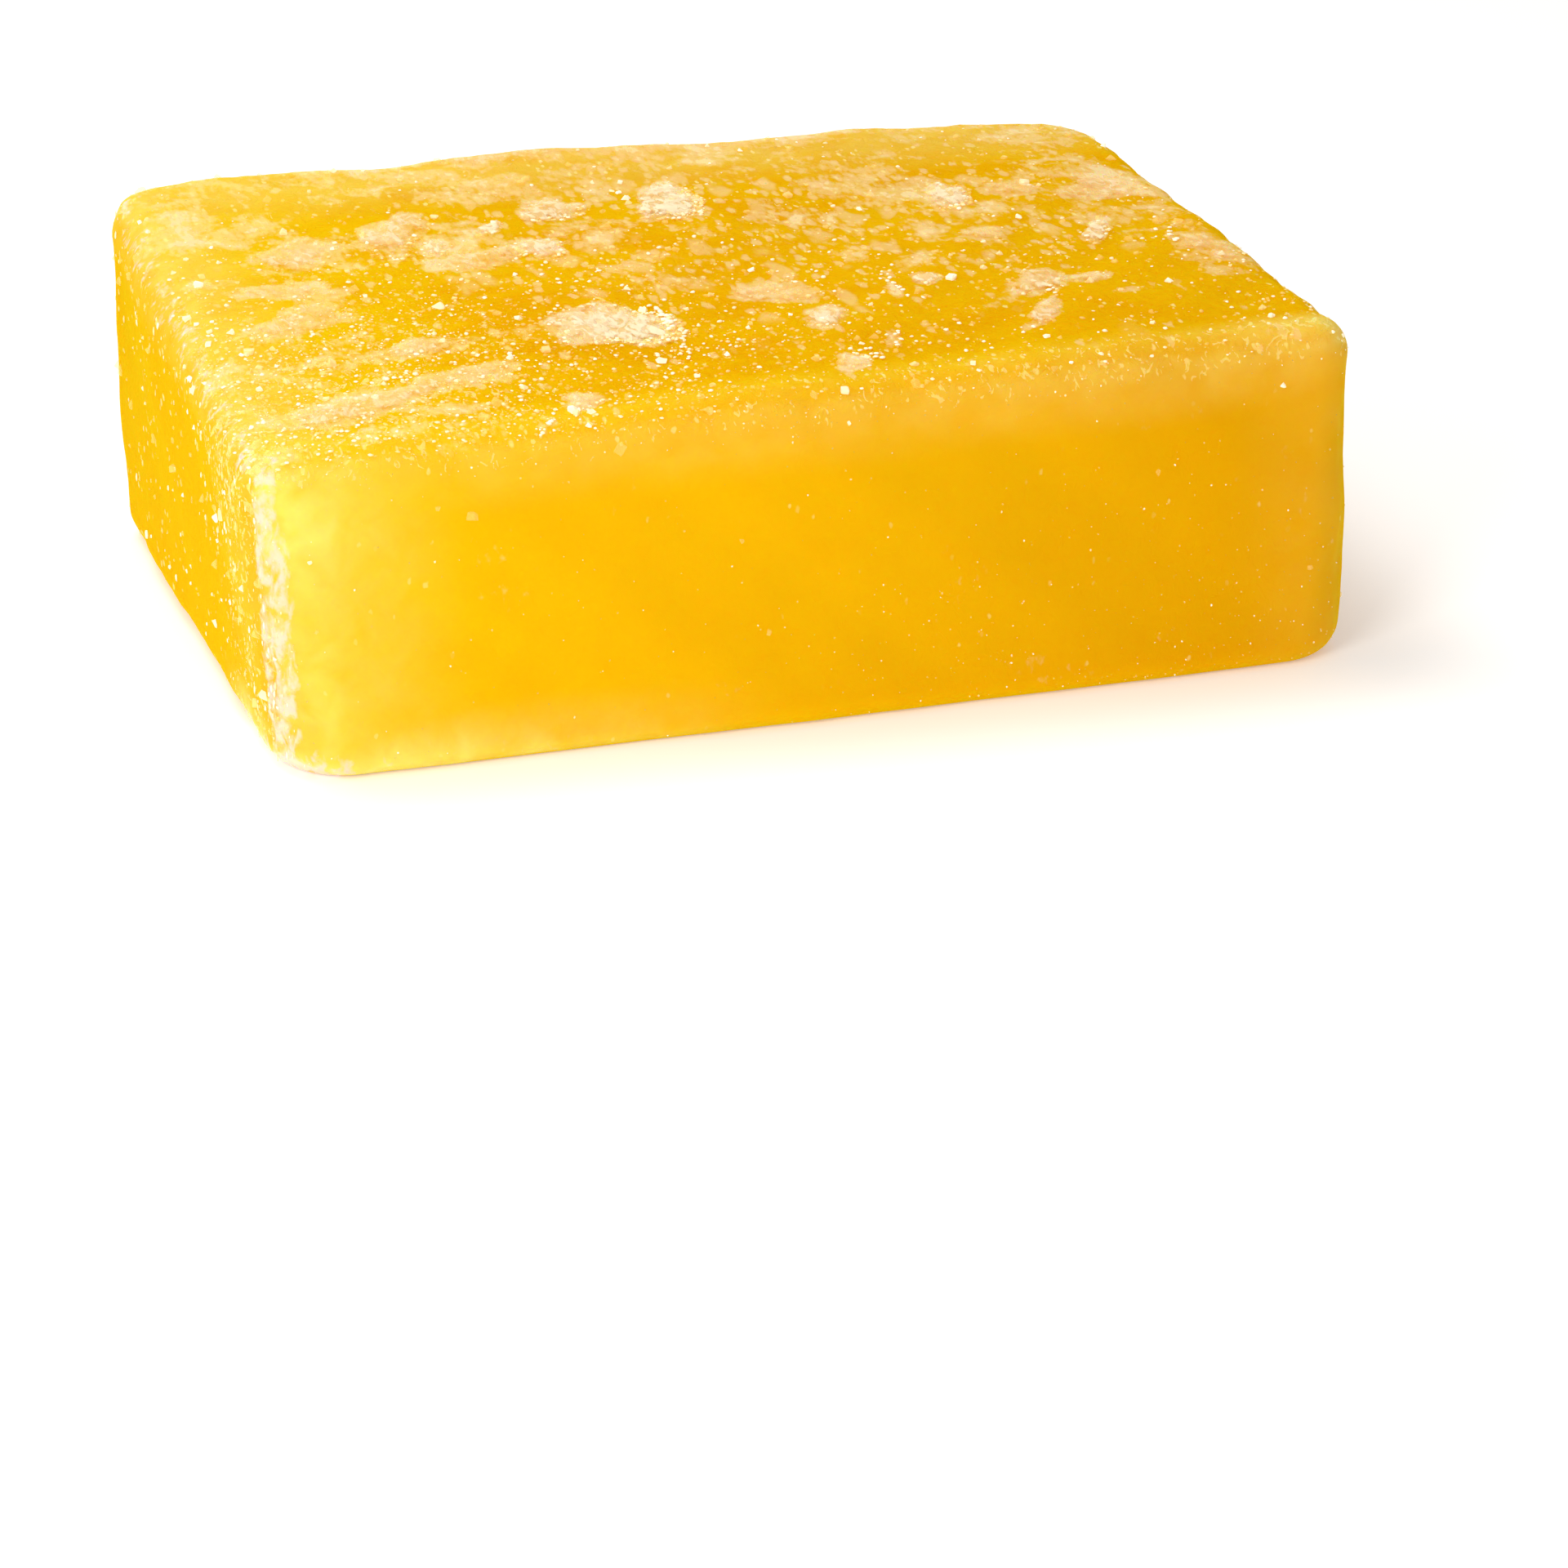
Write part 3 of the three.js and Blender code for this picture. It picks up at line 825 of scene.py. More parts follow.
def crust_material(colours):
    """Dried syrup: clotted crystals, chalky in places and clear in others, with ragged see-through rims, and
    a faint painted glow.
    """
    surface = Surface("Dried syrup crust")
    noise = {name: surface.noise(**settings) for name, settings in CRUST_NOISE.items()}
    rim = surface.attribute("rim")
    strength = surface.attribute("strength")
    rags = 1.8 * (noise["ragged"] - 0.5) + 0.5 * (noise["fine"] - 0.5)
    depth = 1.6 * (1.0 - rim) - 0.2 + rags + 0.4 * (strength - 0.6)
    _, clot_luck = surface.cells(**CRUST_CLOTS)
    inside = surface.step(rim, *CRUST_STEPS["inside the rim"])
    cover = surface.step(depth + 0.5 * (clot_luck - 0.5), *CRUST_STEPS["cover"]) * inside
    thick = surface.step(noise["thick"] + 0.5 * (strength - 0.6), *CRUST_STEPS["thick"])
    grit = surface.step(noise["grit"] + 0.15 * (strength - 0.7), *CRUST_STEPS["grit"])
    whiteness = noise["white"] + 0.3 * grit + 0.5 * (strength - 0.8)
    white = surface.step(whiteness, *CRUST_STEPS["white"])
    clotted = 0.25 + 0.2 * thick + 0.35 * grit + 0.3 * clot_luck
    colour = surface.blend(0.7 * thick + 0.3 * grit, colours.pale_veil, colours.crust)
    colour = surface.blend(white, colour, colours.white_crust)
    height = 0.5 * grit + 0.4 * noise["fine"] + cover * 0.4
    values = {
        "Base Color": colour,
        "Roughness": 0.7,
        "Alpha": cover * (0.2 + 0.65 * strength) * clotted,
        "Specular IOR Level": 0.05,
        # Painted light: the crust glows faintly in its own colour
        "Emission Color": colour,
        "Emission Strength": 0.07,
    }
    return surface.finish(values, height, CRUST_RELIEF)


def sugar_material(name, colours, roughness):
    """Clear sugar that shows the candy through it in most crystals, and white in a few, with a faint painted
    glow in its own colour.
    """
    surface = Surface(name)
    luck = surface.attribute("luck")
    shade = surface.blend(surface.step(luck, *WHITE_SUGAR), colours.pale_sugar, colours.sugar)
    values = {
        "Base Color": shade,
        "Roughness": roughness,
        "Alpha": 0.25 + 0.75 * surface.step(luck, *SOLID_SUGAR),
        "Specular IOR Level": 0.3,
        # Painted light: the crystals glow faintly in their own colour, so that their sides turned from the
        # lights stay as bright as lit sugar
        "Emission Color": shade,
        "Emission Strength": 0.22,
    }
    return surface.finish(values)


# Settings that a user would change


class BlockSettings(bpy.types.PropertyGroup):
    """The block of candy"""

    skin_grain: bpy.props.FloatProperty(
        name="Skin grain",
        description="Size of the fine lumps of the skin",
        default=0.0009,
        unit="LENGTH",
    )
    skin_height: bpy.props.FloatProperty(
        name="Skin height",
        description="Height of the fine lumps of the skin",
        default=0.0001,
        unit="LENGTH",
    )


class CrustSettings(bpy.types.PropertyGroup):
    """The crust on the top"""

    rise: bpy.props.FloatProperty(
        name="Rise",
        description="How far a flake stands over the candy in its middle",
        default=FLAKE_RISE * MM,
        unit="LENGTH",
    )
    rim: bpy.props.FloatProperty(
        name="Rim",
        description="How deep a flake's rim is sunk into the candy, which its grains stand out by too",
        default=FLAKE_RIM * MM,
        unit="LENGTH",
    )
    grains: bpy.props.IntProperty(
        name="Grains",
        description="How many flat grains lie in the crust",
        default=900,
        min=0,
    )


class SugarSettings(bpy.types.PropertyGroup):
    """The sugar stuck to the candy"""

    coarse_count: bpy.props.IntProperty(
        name="Coarse crystals",
        description="How many coarse crystals lie on the candy, those of the solid first",
        default=520,
        min=0,
    )
    coarse_least: bpy.props.FloatProperty(
        name="Least coarse size",
        description="Length of the smallest coarse crystal",
        default=0.42 * MM,
        unit="LENGTH",
    )
    coarse_most: bpy.props.FloatProperty(
        name="Greatest coarse size",
        description="Length of the largest coarse crystal",
        default=0.7 * MM,
        unit="LENGTH",
    )
    fine_count: bpy.props.IntProperty(
        name="Fine grains",
        description="How many fine grains lie on the candy",
        default=7500,
        min=0,
    )
    fine_least: bpy.props.FloatProperty(
        name="Least fine size",
        description="Length of the smallest fine grain",
        default=0.11 * MM,
        unit="LENGTH",
    )
    fine_most: bpy.props.FloatProperty(
        name="Greatest fine size",
        description="Length of the largest fine grain",
        default=0.34 * MM,
        unit="LENGTH",
    )


class ColourSettings(bpy.types.PropertyGroup):
    """The colours of the candy, its crust and its sugar"""

    # Pale amber at the left end and deep amber at the right end are partly the candy's own tone, partly
    # painted light from the left and painted shade at the right
    pale_amber: bpy.props.FloatVectorProperty(
        name="Pale amber",
        description="Colour of the candy at its left end",
        default=(0.86, 0.53, 0.003),
        subtype="COLOR",
    )
    amber: bpy.props.FloatVectorProperty(
        name="Amber",
        description="Colour of most of the candy",
        default=(0.82, 0.46, 0.002),
        subtype="COLOR",
    )
    deep_amber: bpy.props.FloatVectorProperty(
        name="Deep amber",
        description="Colour of the darker clouds in the candy",
        default=(0.75, 0.33, 0.001),
        subtype="COLOR",
    )
    # Painted shade: the colour the sides away from the front are painted in place of the shade that falls
    # there
    painted_shade_amber: bpy.props.FloatVectorProperty(
        name="Painted shade amber",
        description="Colour of the candy at its left face",
        default=(0.73, 0.36, 0.003),
        subtype="COLOR",
    )
    # Milky colour, also painted as a glow at the front left edge and its foot and as a sheen along the back
    # of the top
    haze: bpy.props.FloatVectorProperty(
        name="Haze and painted light",
        description="Colour of the candy where it is milky",
        default=(0.93, 0.73, 0.16),
        subtype="COLOR",
    )
    pale_veil: bpy.props.FloatVectorProperty(
        name="Pale veil",
        description="Colour of a thin veil of dried sugar over the paler candy",
        default=(0.97, 0.73, 0.27),
        subtype="COLOR",
    )
    veil: bpy.props.FloatVectorProperty(
        name="Veil",
        description="Colour of a thin veil of dried sugar over the candy",
        default=(0.93, 0.62, 0.26),
        subtype="COLOR",
    )
    # Colour of the frost, also painted along the foot of the front left edge as a glow of light
    frost: bpy.props.FloatVectorProperty(
        name="Frost and glow",
        description="Colour of the frosted edges",
        default=(0.98, 0.67, 0.51),
        subtype="COLOR",
    )
    crust: bpy.props.FloatVectorProperty(
        name="Crust",
        description="Colour of the thick crust",
        default=(0.97, 0.75, 0.38),
        subtype="COLOR",
    )
    white_crust: bpy.props.FloatVectorProperty(
        name="White crust",
        description="Colour of the whitest clots of the crust",
        default=(1.0, 0.87, 0.58),
        subtype="COLOR",
    )
    pale_sugar: bpy.props.FloatVectorProperty(
        name="Pale sugar",
        description="Colour of the crystals that show the candy through them",
        default=(1.0, 0.78, 0.26),
        subtype="COLOR",
    )
    sugar: bpy.props.FloatVectorProperty(
        name="Sugar",
        description="Colour of the whitest sugar crystals",
        default=(1.0, 0.93, 0.70),
        subtype="COLOR",
    )


# Pieces


# Each share below runs from 0 to 1, and comes from points of the rounded box, in millimetres, and from the
# outward directions there. The soft steps in it are places along X, Y and Z, or shares of a direction.


def veil_and_sheen_of(points, normals):
    """How thickly sugar has dried on the top, in the veils and round the flakes, and along the back a painted
    sheen in place of the top's grazing reflection.
    """
    x, y = points[:, 0], points[:, 1]
    # Painted sheen: paler along the back of the top, in place of its grazing reflection
    veil = 0.36 * smooth(15, 20, y) * smooth(26, 10, x)
    for index, patch in enumerate(VEILS):
        reach = patch_reach(x, y, patch, VEIL_SEED + FLAKE_SEED_STEP * index)
        veil = np.maximum(veil, patch[5] * smooth(1.4, 0.5, reach))
    for index, flake in enumerate(CRUST_FLAKES):
        reach = patch_reach(x, y, flake, FLAKE_SEED_STEP * index)
        veil = np.maximum(veil, (0.3 + 0.45 * flake[5]) * smooth(1.3, 0.8, reach))
    return veil * smooth(*FACING, normals[:, 2])


def haze_and_painted_light_of(points, normals):
    """How milky the candy is: towards the front left edge, along the rounded rims, and at the back. Part of
    it is painted light: a glow of light coming through the front left edge and its foot, and a painted sheen
    along the back of the top.
    """
    x, y, z = points.T
    front = smooth(*SIDE, -normals[:, 1])
    left = smooth(*SIDE, -normals[:, 0])
    up = smooth(*FACING, normals[:, 2])
    # Partly milkiness and frost, partly a painted glow of the light that comes through the front left edge
    front_left = (0.57 + 0.4 * smooth(0, 9, z)) * front * smooth(-19, -31, x)
    rim_share = 0.06 + 0.06 * smooth(0, 20, x) + 0.4 * smooth(20, 29, x)
    front_rim = rim_share * smooth(0.15, 0.6, normals[:, 2]) * smooth(-18.0, -20.5, y)
    under_rim = (0.24 + 0.12 * smooth(0, 30, x)) * front * smooth(5.0, 9.0, z)
    # Painted light: the foot of the front left glows pale where light comes through its bottom edge
    foot_share = 0.9 * smooth(-5.5, -9.0, z) * smooth(-2, -27, x) * smooth(-8, -16, y)
    foot = foot_share * smooth(*FACING, front + left)
    left_rim = 0.2 * left * smooth(6.0, 9.4, z)
    left_front = 0.12 * left * smooth(-8, -21, y)
    right_end = 0.08 * front * smooth(22, 30, x)
    # Painted sheen: paler along the back of the top
    back = 0.3 * smooth(12, 20, y) * up
    top_left = 0.4 * smooth(-23, -30, x) * up
    parts = (front_left, front_rim, under_rim, foot, left_rim, left_front, right_end, back, top_left)
    return np.maximum.reduce(parts)


def frost_and_glow_of(points, normals):
    """How frosted the skin is: most along the front left upright edge and its foot, where the paleness is
    painted light, a glow of light coming through the bottom edge.
    """
    x, y, z = points.T
    turn = np.radians(np.interp(z, list(FROST_TURN), list(FROST_TURN.values())))
    level = np.maximum(np.hypot(normals[:, 0], normals[:, 1]), 1e-6)
    edge_way = -(np.sin(turn) * normals[:, 0] + np.cos(turn) * normals[:, 1]) / level
    to_left = np.cos(turn) * normals[:, 0] - np.sin(turn) * normals[:, 1]
    fade = np.where(to_left < 0, smooth(0.95, 0.985, edge_way), smooth(0.9, 0.99, edge_way))
    upright = 0.58 * fade * smooth(-22, -28, x) * smooth(0.1, 0.5, level)
    # Painted light: pale frost colour along the foot, in place of light coming through the bottom edge
    foot = 0.75 * smooth(-6.9, -9.0, z) * smooth(*FACING, edge_way) * smooth(-4, -26, x) * smooth(-8, -16, y)
    corner = 0.8 * smooth(-27.5, -30.2, x) * smooth(17.0, 21.5, y) * smooth(-0.1, 0.6, normals[:, 2])
    left_rim = 0.3 * smooth(-0.2, -0.6, normals[:, 0]) * smooth(0.2, 0.6, normals[:, 2])
    return np.maximum.reduce((upright, foot, corner, left_rim))


def curls_of(points, normals):
    """How thickly short pale curls of sugar lie in the skin: most at the front left of the top."""
    x, y, z = points.T
    top = smooth(0.2, 0.7, normals[:, 2]) * (0.15 + 0.7 * smooth(2, -22, x) * smooth(9, -10, y))
    left = smooth(0.5, 0.9, -normals[:, 0]) * (0.8 * smooth(-2, -17, y) + 0.4 * smooth(4, 9, z))
    rim = (0.65 + 0.2 * smooth(0, 20, x)) * smooth(0.1, 0.5, normals[:, 2]) * smooth(-17, -20, y)
    return np.maximum.reduce((top, left, rim))


def upper_of(points, normals):
    """How deep the amber of the skin is: most on the top, away from its front rim."""
    return smooth(*FACING, normals[:, 2]) * smooth(-20.0, -17.0, points[:, 1])


def mottle_of(points, normals):
    """How thickly small flecks lie in the skin of the top: most in its middle and at its back right."""
    x, y = points[:, 0], points[:, 1]
    reach = np.hypot((x - 5) / 25, (y - 5) / 15)
    return (0.18 + 0.82 * smooth(1.15, 0.45, reach)) * smooth(0.6, 0.9, normals[:, 2])


def painted_shade_of(points, normals):
    """How much painted shade the sides get, as deeper amber: none on the front, most on the left end, less on
    the back and the right end.
    """
    left = smooth(0.1, 0.95, -normals[:, 0])
    far = 0.7 * smooth(0.1, 0.9, np.maximum(normals[:, 0], normals[:, 1]))
    return np.maximum(left, far)


def grain_of(points, normals):
    """How grainy the skin is: most on the top and on the left end."""
    top = smooth(*FACING, normals[:, 2])
    left = 0.5 * smooth(0.5, 0.85, -normals[:, 0])
    elsewhere = np.full(len(normals), 0.22)
    return np.maximum.reduce((top, left, elsewhere))


SKIN_SHARES = {
    "veil": veil_and_sheen_of,
    "haze": haze_and_painted_light_of,
    "frost": frost_and_glow_of,
    "curls": curls_of,
    "upper": upper_of,
    "mottle": mottle_of,
    "shaded": painted_shade_of,
    "grain": grain_of,
}


class CANDIEDCACTUS_OT_add_body(bpy.types.Operator):
    """Adds the block of candy in place of its plain solid"""

    bl_idname = "candied_cactus.add_body"
    bl_label = "Add the candy"

    def execute(self, context):
        settings = context.scene.cactus_block
        deselect_all()
        bpy.ops.mesh.primitive_cube_add(size=2)
        body = context.active_object
        body.name = "candy_body"
        cut_cube(body, GRID_CUTS)
        places = vertex_array(body.data)
        places *= 1 + CROWDING * (1 - places * places)
        points, normals = skin(places)
        box_points, box_normals = rounded_box(places)
        set_vertices(body.data, points * MM)
        for name, share_of in SKIN_SHARES.items():
            add_attribute(body.data, name, share_of(box_points, box_normals))
        off_floor = smooth(*OFF_FLOOR, normals[:, 2])
        weigh_vertices(body, "off the floor", off_floor)
        weigh_vertices(body, "grainy", grain_of(box_points, box_normals) * off_floor)
        soft_grain = SOFT_LUMP_GRAIN * settings.skin_grain
        fine_height = FINE_LUMP_HEIGHT * settings.skin_height
        displace(body, "Soft lumps", soft_grain, settings.skin_height, "off the floor")
        displace(body, "Skin lumps", settings.skin_grain, fine_height, "grainy")
        join_resting_face(body)
        bpy.ops.object.shade_smooth()
        finish_piece(body, candy_material(context.scene.cactus_colours))
        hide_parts("block")
        return {"FINISHED"}


class CANDIEDCACTUS_OT_add_crust(bpy.types.Operator):
    """Adds the thin flakes of dried syrup on the top"""

    bl_idname = "candied_cactus.add_crust"
    bl_label = "Add the crust"

    def execute(self, context):
        settings = context.scene.cactus_crust
        spokes = np.arange(FLAKE_SPOKES)
        angles = spokes * 2 * math.pi / FLAKE_SPOKES
        rises = np.interp(FLAKE_RINGS, list(FLAKE_PROFILE), list(FLAKE_PROFILE.values()))
        points, faces, rims, strengths = [], [], [], []
        for index, flake in enumerate(CRUST_FLAKES):
            x, y, half_length, half_width, turn, strength = flake
            lean = math.radians(turn)
            fine = sum(depth * np.sin(count * angles + lag * index) for count, depth, lag in FINE_LOBES)
            edge = ragged_rim(angles, FLAKE_SEED_STEP * index) * (1 + fine)
            start = sum(len(part) for part in points)
            for ring, rise in zip(FLAKE_RINGS, rises):
                u = np.cos(angles) * half_length * edge * ring
                v = np.sin(angles) * half_width * edge * ring
                at, out = skin(places_on_top(x, y, u, v, lean, FLAKE_REACH))
                lift = settings.rise if rise > 0 else settings.rim
                points.append(at * MM + out * (lift * rise))
                rims.append(np.full(FLAKE_SPOKES, ring))
                strengths.append(np.full(FLAKE_SPOKES, strength))
            for ring in range(len(FLAKE_RINGS) - 1):
                first = start + ring * FLAKE_SPOKES + spokes
                after = start + ring * FLAKE_SPOKES + (spokes + 1) % FLAKE_SPOKES
                faces.append(np.column_stack((first, first + FLAKE_SPOKES, after + FLAKE_SPOKES, after)))
        crust = mesh_object("crust_flakes", np.concatenate(points), np.concatenate(faces))
        add_attribute(crust.data, "rim", np.concatenate(rims))
        add_attribute(crust.data, "strength", np.concatenate(strengths))
        only_select(crust)
        bpy.ops.object.mode_set(mode="EDIT")
        bpy.ops.mesh.select_all(action="SELECT")
        bpy.ops.mesh.remove_doubles(threshold=SAME_POINT)
        bpy.ops.mesh.normals_make_consistent(inside=False)
        bpy.ops.object.mode_set(mode="OBJECT")
        bpy.ops.object.shade_smooth()
        finish_piece(crust, crust_material(context.scene.cactus_colours))
        return {"FINISHED"}


def sorted_triangles(polygons):
    """Faces cut into triangles from their lowest point number on, so that every run gives the same ones."""
    triangles = []
    for face in polygons:
        corners = list(face.vertices)
        first = corners.index(min(corners))
        corners = corners[first:] + corners[:first]
        for second, third in zip(corners[1:], corners[2:]):
            triangles.append((corners[0], second, third))
    return np.array(sorted(triangles))


def crystal_cage(coarse):
    """One crystal of unit length, modelled once: its points and its faces of three corners."""
    deselect_all()
    if coarse:
        bpy.ops.mesh.primitive_cube_add(size=1)
    else:
        bpy.ops.mesh.primitive_ico_sphere_add(subdivisions=1, radius=0.5)
    cage = bpy.context.active_object
    bpy.ops.object.mode_set(mode="EDIT")
    bpy.ops.mesh.select_all(action="SELECT")
    if coarse:
        bpy.ops.mesh.bevel(offset=CRYSTAL_BEVEL, segments=1, affect="EDGES")
    bpy.ops.object.mode_set(mode="OBJECT")
    cage.data.transform(Matrix.Diagonal((*CRYSTAL_SHAPE, 1)))
    points = vertex_array(cage.data)
    faces = sorted_triangles(cage.data.polygons)
    bpy.data.objects.remove(cage)
    return points, faces


def turns_of(angles):
    """Turning matrices for rows of three angles, turned about X, then Y, then Z."""
    zero, one = np.zeros(len(angles)), np.ones(len(angles))
    cosine, sine = np.cos(angles.T), np.sin(angles.T)
    about_x = np.array(((one, zero, zero), (zero, cosine[0], -sine[0]), (zero, sine[0], cosine[0])))
    about_y = np.array(((cosine[1], zero, sine[1]), (zero, one, zero), (-sine[1], zero, cosine[1])))
    about_z = np.array(((cosine[2], -sine[2], zero), (sine[2], cosine[2], zero), (zero, zero, one)))
    return np.einsum("ijn,jkn,kln->nil", about_z, about_y, about_x)


def scatter(name, middles, sizes, angles, luck, squash=None, coarse=False):
    """One object of many crystals with these middles and lengths in metres, turns and lucks."""
    cage, faces = crystal_cage(coarse)
    turns = turns_of(angles)
    chance = np.random.default_rng(len(middles))
    corners = chance.uniform(*CRYSTAL_CORNERS, (len(middles), len(cage), 1))
    shapes = cage[None] * corners * sizes[:, None, None]
    points = np.einsum("nij,nkj->nki", turns, shapes)
    if squash is not None:
        points = points * squash[:, None, :]
    points = points + middles[:, None]
    offsets = np.arange(len(middles))[:, None, None] * len(cage)
    all_faces = (faces[None] + offsets).reshape(-1, 3)
    crystals = mesh_object(name, points.reshape(-1, 3), all_faces)
    add_attribute(crystals.data, "luck", np.repeat(luck, len(cage)))
    only_select(crystals)
    if not coarse:
        bpy.ops.object.shade_smooth()
    return crystals


def coarse_place(face, first, second):
    """A coarse crystal's place on the box, by three draws, as in the solid."""
    along = mix(-CRYSTAL_REACH, CRYSTAL_REACH, first**CRYSTAL_BIAS)
    across = mix(-CRYSTAL_REACH, CRYSTAL_REACH, second**CRYSTAL_BIAS)
    height = mix(CRYSTAL_LOWEST, CRYSTAL_REACH, second)
    if face < SHARE_ON_TOP:
        return (along, across, 1)
    if face < SHARE_ON_TOP + SHARE_ON_LEFT:
        return (-1, along, height)
    return (along, -1, height)


class CANDIEDCACTUS_OT_add_coarse_sugar(bpy.types.Operator):
    """Adds the coarse sugar crystals"""

    bl_idname = "candied_cactus.add_coarse_sugar"
    bl_label = "Add the coarse sugar"

    def execute(self, context):
        settings = context.scene.cactus_sugar
        first = DRAWS_EACH
        last = (settings.coarse_count + 1) * DRAWS_EACH
        draws = np.array([draw(number) for number in range(first, last)]).reshape(-1, DRAWS_EACH)
        places = np.array([coarse_place(*row[:3]) for row in draws], dtype=float)
        points, normals = skin(places)
        sizes = mix(settings.coarse_least, settings.coarse_most, draws[:, 3] ** 2)
        on_left = normals[CRYSTAL_COUNT:, 0] < -SIDEWAYS
        sizes[CRYSTAL_COUNT:] *= np.where(on_left, EXTRA_SHARE_ON_LEFT, EXTRA_SHARE)
        middles = points * MM - normals * (CRYSTAL_SINK * sizes)[:, None]
        luck = np.random.default_rng(COARSE_SEED).random(len(sizes))
        sugar = scatter("coarse_sugar", middles, sizes, math.pi * draws[:, 4:7], luck, coarse=True)
        finish_piece(sugar, sugar_material("Coarse sugar", context.scene.cactus_colours, COARSE_ROUGHNESS))
        return {"FINISHED"}


def sugar_density(places, normals):
    """How likely a fine grain is to lie at a place, from 0 to 1."""
    x, y, z = (places * HALF).T
    top = smooth(0.5, 0.9, normals[:, 2])
    front_left = smooth(16, -28, x) * smooth(16, -20, y)
    on_top = top * (0.1 + 0.75 * front_left) * (0.35 + 0.65 * smooth(14, -4, y))
    left = smooth(0.6, 0.9, -normals[:, 0]) * (0.006 + 0.2 * smooth(-3, -20, y) + 0.12 * smooth(3, 9, z))
    edge_way = -(0.76 * normals[:, 0] + 0.65 * normals[:, 1])
    upright = 0.35 * smooth(0.86, 0.99, edge_way)
    front = smooth(0.6, 0.9, -normals[:, 1]) * (0.03 + 0.13 * smooth(-12, 14, x) * smooth(6, -6, z))
    front_rim = 0.3 * smooth(0.2, 0.6, -normals[:, 1]) * smooth(0.1, 0.4, normals[:, 2])
    other = 0.02 * (normals[:, 2] > -0.5)
    return np.maximum.reduce((on_top, left, upright, front, front_rim, other))


class CANDIEDCACTUS_OT_add_fine_sugar(bpy.types.Operator):
    """Adds the fine grains of sugar, most of them towards the front left"""

    bl_idname = "candied_cactus.add_fine_sugar"
    bl_label = "Add the fine sugar"

    def execute(self, context):
        settings = context.scene.cactus_sugar
        luck = np.random.default_rng(FINE_SEED)
        areas = np.array((HALF[1] * HALF[2], HALF[0] * HALF[2], HALF[0] * HALF[1]))
        tries = FINE_TRIES * settings.fine_count
        axes = luck.choice(3, tries, p=areas / areas.sum())
        places = luck.uniform(-1, 1, (tries, 3))
        sides = np.where(luck.random(tries) < 0.5, -1.0, 1.0)
        places[np.arange(tries), axes] = sides
        points, normals = skin(places)
        kept = luck.random(tries) < sugar_density(places, normals)
        kept &= ~((axes == 2) & (sides < 0))
        chosen = np.flatnonzero(kept)[: settings.fine_count]
        count = len(chosen)
        sizes = mix(settings.fine_least, settings.fine_most, luck.random(count) ** FINE_BIAS)
        normals = normals[chosen]
        sizes[normals[:, 1] < -SIDEWAYS] *= FINE_SHARE_ON_FRONT
        middles = points[chosen] * MM + normals * (FINE_STAND * sizes)[:, None]
        angles = luck.uniform(0, math.pi, (count, 3))
        squash = np.ones((count, 3))
        squash[normals[:, 0] < -SIDEWAYS] = FINE_SQUASH_ON_LEFT
        squash[normals[:, 2] > SIDEWAYS] = FINE_SQUASH_ON_TOP
        sugar = scatter("fine_sugar", middles, sizes, angles, luck.random(count), squash)
        finish_piece(sugar, sugar_material("Fine sugar", context.scene.cactus_colours, FINE_ROUGHNESS))
        return {"FINISHED"}


class CANDIEDCACTUS_OT_add_crust_grains(bpy.types.Operator):
    """Adds the flat grains that the crust has clotted from"""

    bl_idname = "candied_cactus.add_crust_grains"
    bl_label = "Add the crust grains"

    def execute(self, context):
        settings = context.scene.cactus_crust
        luck = np.random.default_rng(GRAIN_SEED)
        weights = np.array([flake[2] * flake[3] * flake[5] ** WHITE_FLAKE_BIAS for flake in CRUST_FLAKES])
        owners = luck.choice(len(CRUST_FLAKES), settings.grains, p=weights / weights.sum())
        rows = np.array(CRUST_FLAKES)[owners]
        angles = luck.normal(math.radians(GRAIN_WAY), math.radians(GRAIN_SPREAD), settings.grains)
        shares = 1 - GRAIN_DEPTH * luck.random(settings.grains) ** GRAIN_CROWDING
        seeds = FLAKE_SEED_STEP * owners
        rims = np.array([ragged_rim(np.array([angle]), seed)[0] for angle, seed in zip(angles, seeds)])
        u = np.cos(angles) * rows[:, 2] * rims * shares * GRAIN_OVERHANG
        v = np.sin(angles) * rows[:, 3] * rims * shares * GRAIN_OVERHANG
        places = places_on_top(rows[:, 0], rows[:, 1], u, v, np.radians(rows[:, 4]), GRAIN_REACH)
        sizes = mix(*GRAIN_SIZE, luck.random(settings.grains) ** 2)
        for from_x, from_y, to_x, to_y, number, length in CLOT_STRINGS:
            shares = (np.arange(number) + 0.5) / number
            at = np.column_stack((mix(from_x, to_x, shares), mix(from_y, to_y, shares)))
            at = (at + luck.normal(0, STRING_SPREAD, at.shape)) / HALF[:2]
            places = np.vstack((places, np.column_stack((at, np.ones(number)))))
            sizes = np.append(sizes, length * luck.uniform(*STRING_LENGTHS, number))
        count = len(sizes)
        points, normals = skin(places)
        sizes = sizes * MM
        tilt = luck.uniform(-GRAIN_TILT, GRAIN_TILT, (count, 2))
        turns = np.column_stack((tilt, luck.uniform(0, 2 * math.pi, count)))
        widths = luck.uniform(*GRAIN_WIDTH, count)
        squash = np.column_stack((np.ones(count), widths, np.full(count, GRAIN_THICKNESS)))
        stand = settings.rim * luck.uniform(*GRAIN_STAND, count)
        middles = points * MM + normals * stand[:, None]
        whiteness = luck.random(count)
        whiteness[settings.grains :] = 1
        grains = scatter("crust_grains", middles, sizes, turns, whiteness, squash)
        finish_piece(grains, sugar_material("Crust grains", context.scene.cactus_colours, GRAIN_ROUGHNESS))
        return {"FINISHED"}


# Stage


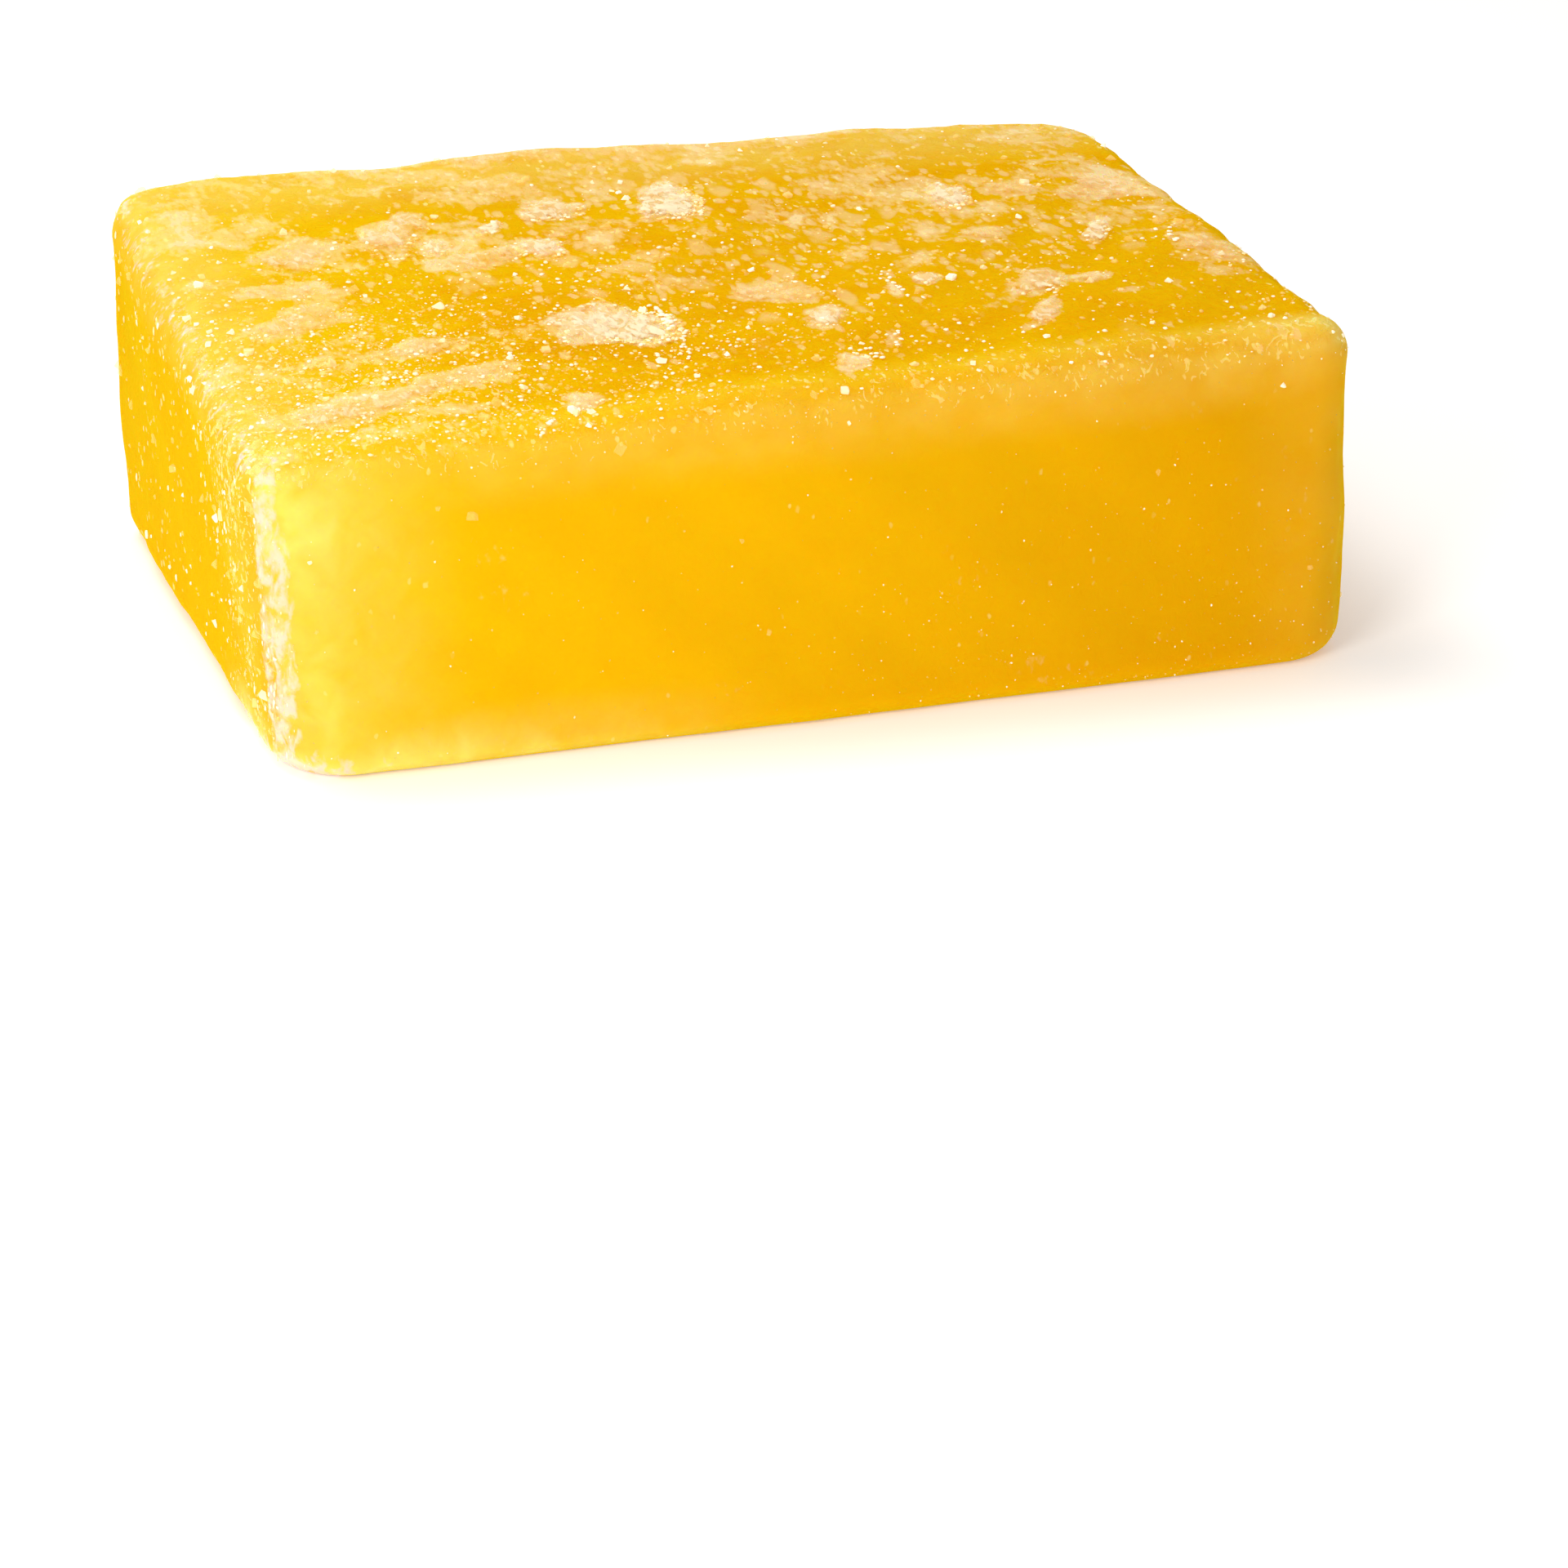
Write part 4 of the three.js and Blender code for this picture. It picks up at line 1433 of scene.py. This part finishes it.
class StageSettings(bpy.types.PropertyGroup):
    """The camera and the light"""

    lens: bpy.props.FloatProperty(
        name="Lens",
        description="Focal length of the camera, in millimetres",
        default=131.25,
    )
    camera_place: bpy.props.FloatVectorProperty(
        name="Camera place",
        description="Where the camera stands",
        default=(-0.08353, -0.29726, 0.1149),
        subtype="TRANSLATION",
    )
    pitch: bpy.props.FloatProperty(
        name="Pitch",
        description="How far the camera looks down",
        default=math.radians(22.384),
        subtype="ANGLE",
    )
    yaw: bpy.props.FloatProperty(
        name="Yaw",
        description="How far the camera is turned to the right of the block's depth",
        default=math.radians(16.463),
        subtype="ANGLE",
    )


def floor_material():
    """A white floor without a shine."""
    surface = Surface("White floor")
    values = {
        "Base Color": (0.96, 0.96, 0.96, 1),
        "Roughness": 0.8,
        "Specular IOR Level": 0.0,
        "Emission Color": (1.0, 0.995, 0.99, 1),
        "Emission Strength": 0.23,
    }
    return surface.finish(values)


def add_area_light(name, place, width, power, colour):
    """A soft square light at a place, turned to the block."""
    deselect_all()
    bpy.ops.object.light_add(type="AREA", location=place)
    light = bpy.context.active_object
    light.name = name
    light.rotation_mode = "QUATERNION"
    light.rotation_quaternion = (Vector(LIT_POINT) - Vector(place)).to_track_quat("-Z", "Y")
    light.data.shape = "SQUARE"
    light.data.size = width
    light.data.energy = power
    light.data.color = colour


class CANDIEDCACTUS_OT_add_stage(bpy.types.Operator):
    """Adds the pale floor, the soft light and the camera"""

    bl_idname = "candied_cactus.add_stage"
    bl_label = "Add the stage"

    def execute(self, context):
        settings = context.scene.cactus_stage
        scene = context.scene
        scene.view_settings.view_transform = "Standard"
        scene.view_settings.look = "None"
        deselect_all()
        bpy.ops.mesh.primitive_plane_add(size=FLOOR_WIDTH)
        floor = context.active_object
        floor.name = "floor"
        floor.data.materials.append(floor_material())

        world = bpy.data.worlds.new("Pale studio")
        world.use_nodes = True
        sky = world.node_tree.nodes["Background"]
        sky.inputs["Color"].default_value = SKY_COLOUR
        sky.inputs["Strength"].default_value = SKY_STRENGTH
        scene.world = world

        for name, (place, width, power, colour) in LIGHTS.items():
            add_area_light(name, place, width, power, colour)

        camera_data = bpy.data.cameras.new("camera")
        camera_data.lens = settings.lens
        camera_data.sensor_width = SENSOR_WIDTH
        camera_data.clip_start = NEAREST_SEEN
        camera = bpy.data.objects.new("camera", camera_data)
        camera.location = settings.camera_place
        camera.rotation_euler = (math.pi / 2 - settings.pitch, 0, -settings.yaw)
        scene.collection.objects.link(camera)
        scene.camera = camera
        return {"FINISHED"}


class CANDIEDCACTUS_PT_build(bpy.types.Panel):
    """Lists the steps that build the block"""

    bl_label = "Candied cactus"
    bl_idname = "CANDIEDCACTUS_PT_build"
    bl_space_type = "VIEW_3D"
    bl_region_type = "UI"
    bl_category = "Candied cactus"

    def draw(self, context):
        for step in STEPS:
            self.layout.operator(step.bl_idname)
        for name in SETTINGS:
            group = getattr(context.scene, name)
            box = self.layout.box()
            box.label(text=group.bl_rna.description)
            for key in group.bl_rna.properties.keys():
                if key not in ("rna_type", "name"):
                    box.prop(group, key)


STEPS = (
    CANDIEDCACTUS_OT_add_stage,
    CANDIEDCACTUS_OT_add_body,
    CANDIEDCACTUS_OT_add_crust,
    CANDIEDCACTUS_OT_add_crust_grains,
    CANDIEDCACTUS_OT_add_coarse_sugar,
    CANDIEDCACTUS_OT_add_fine_sugar,
)
SETTINGS = {
    "cactus_block": BlockSettings,
    "cactus_crust": CrustSettings,
    "cactus_sugar": SugarSettings,
    "cactus_colours": ColourSettings,
    "cactus_stage": StageSettings,
}


def register():
    for group in SETTINGS.values():
        bpy.utils.register_class(group)
    for step in STEPS:
        bpy.utils.register_class(step)
    bpy.utils.register_class(CANDIEDCACTUS_PT_build)
    for name, group in SETTINGS.items():
        setattr(bpy.types.Scene, name, bpy.props.PointerProperty(type=group))


def unregister():
    for name in SETTINGS:
        delattr(bpy.types.Scene, name)
    bpy.utils.unregister_class(CANDIEDCACTUS_PT_build)
    for step in reversed(STEPS):
        bpy.utils.unregister_class(step)
    for group in SETTINGS.values():
        bpy.utils.unregister_class(group)


def main():
    register()
    bpy.ops.candied_cactus.add_stage()
    bpy.ops.candied_cactus.add_body()
    bpy.ops.candied_cactus.add_crust()
    bpy.ops.candied_cactus.add_crust_grains()
    bpy.ops.candied_cactus.add_coarse_sugar()
    bpy.ops.candied_cactus.add_fine_sugar()


if __name__ == "__main__":
    main()
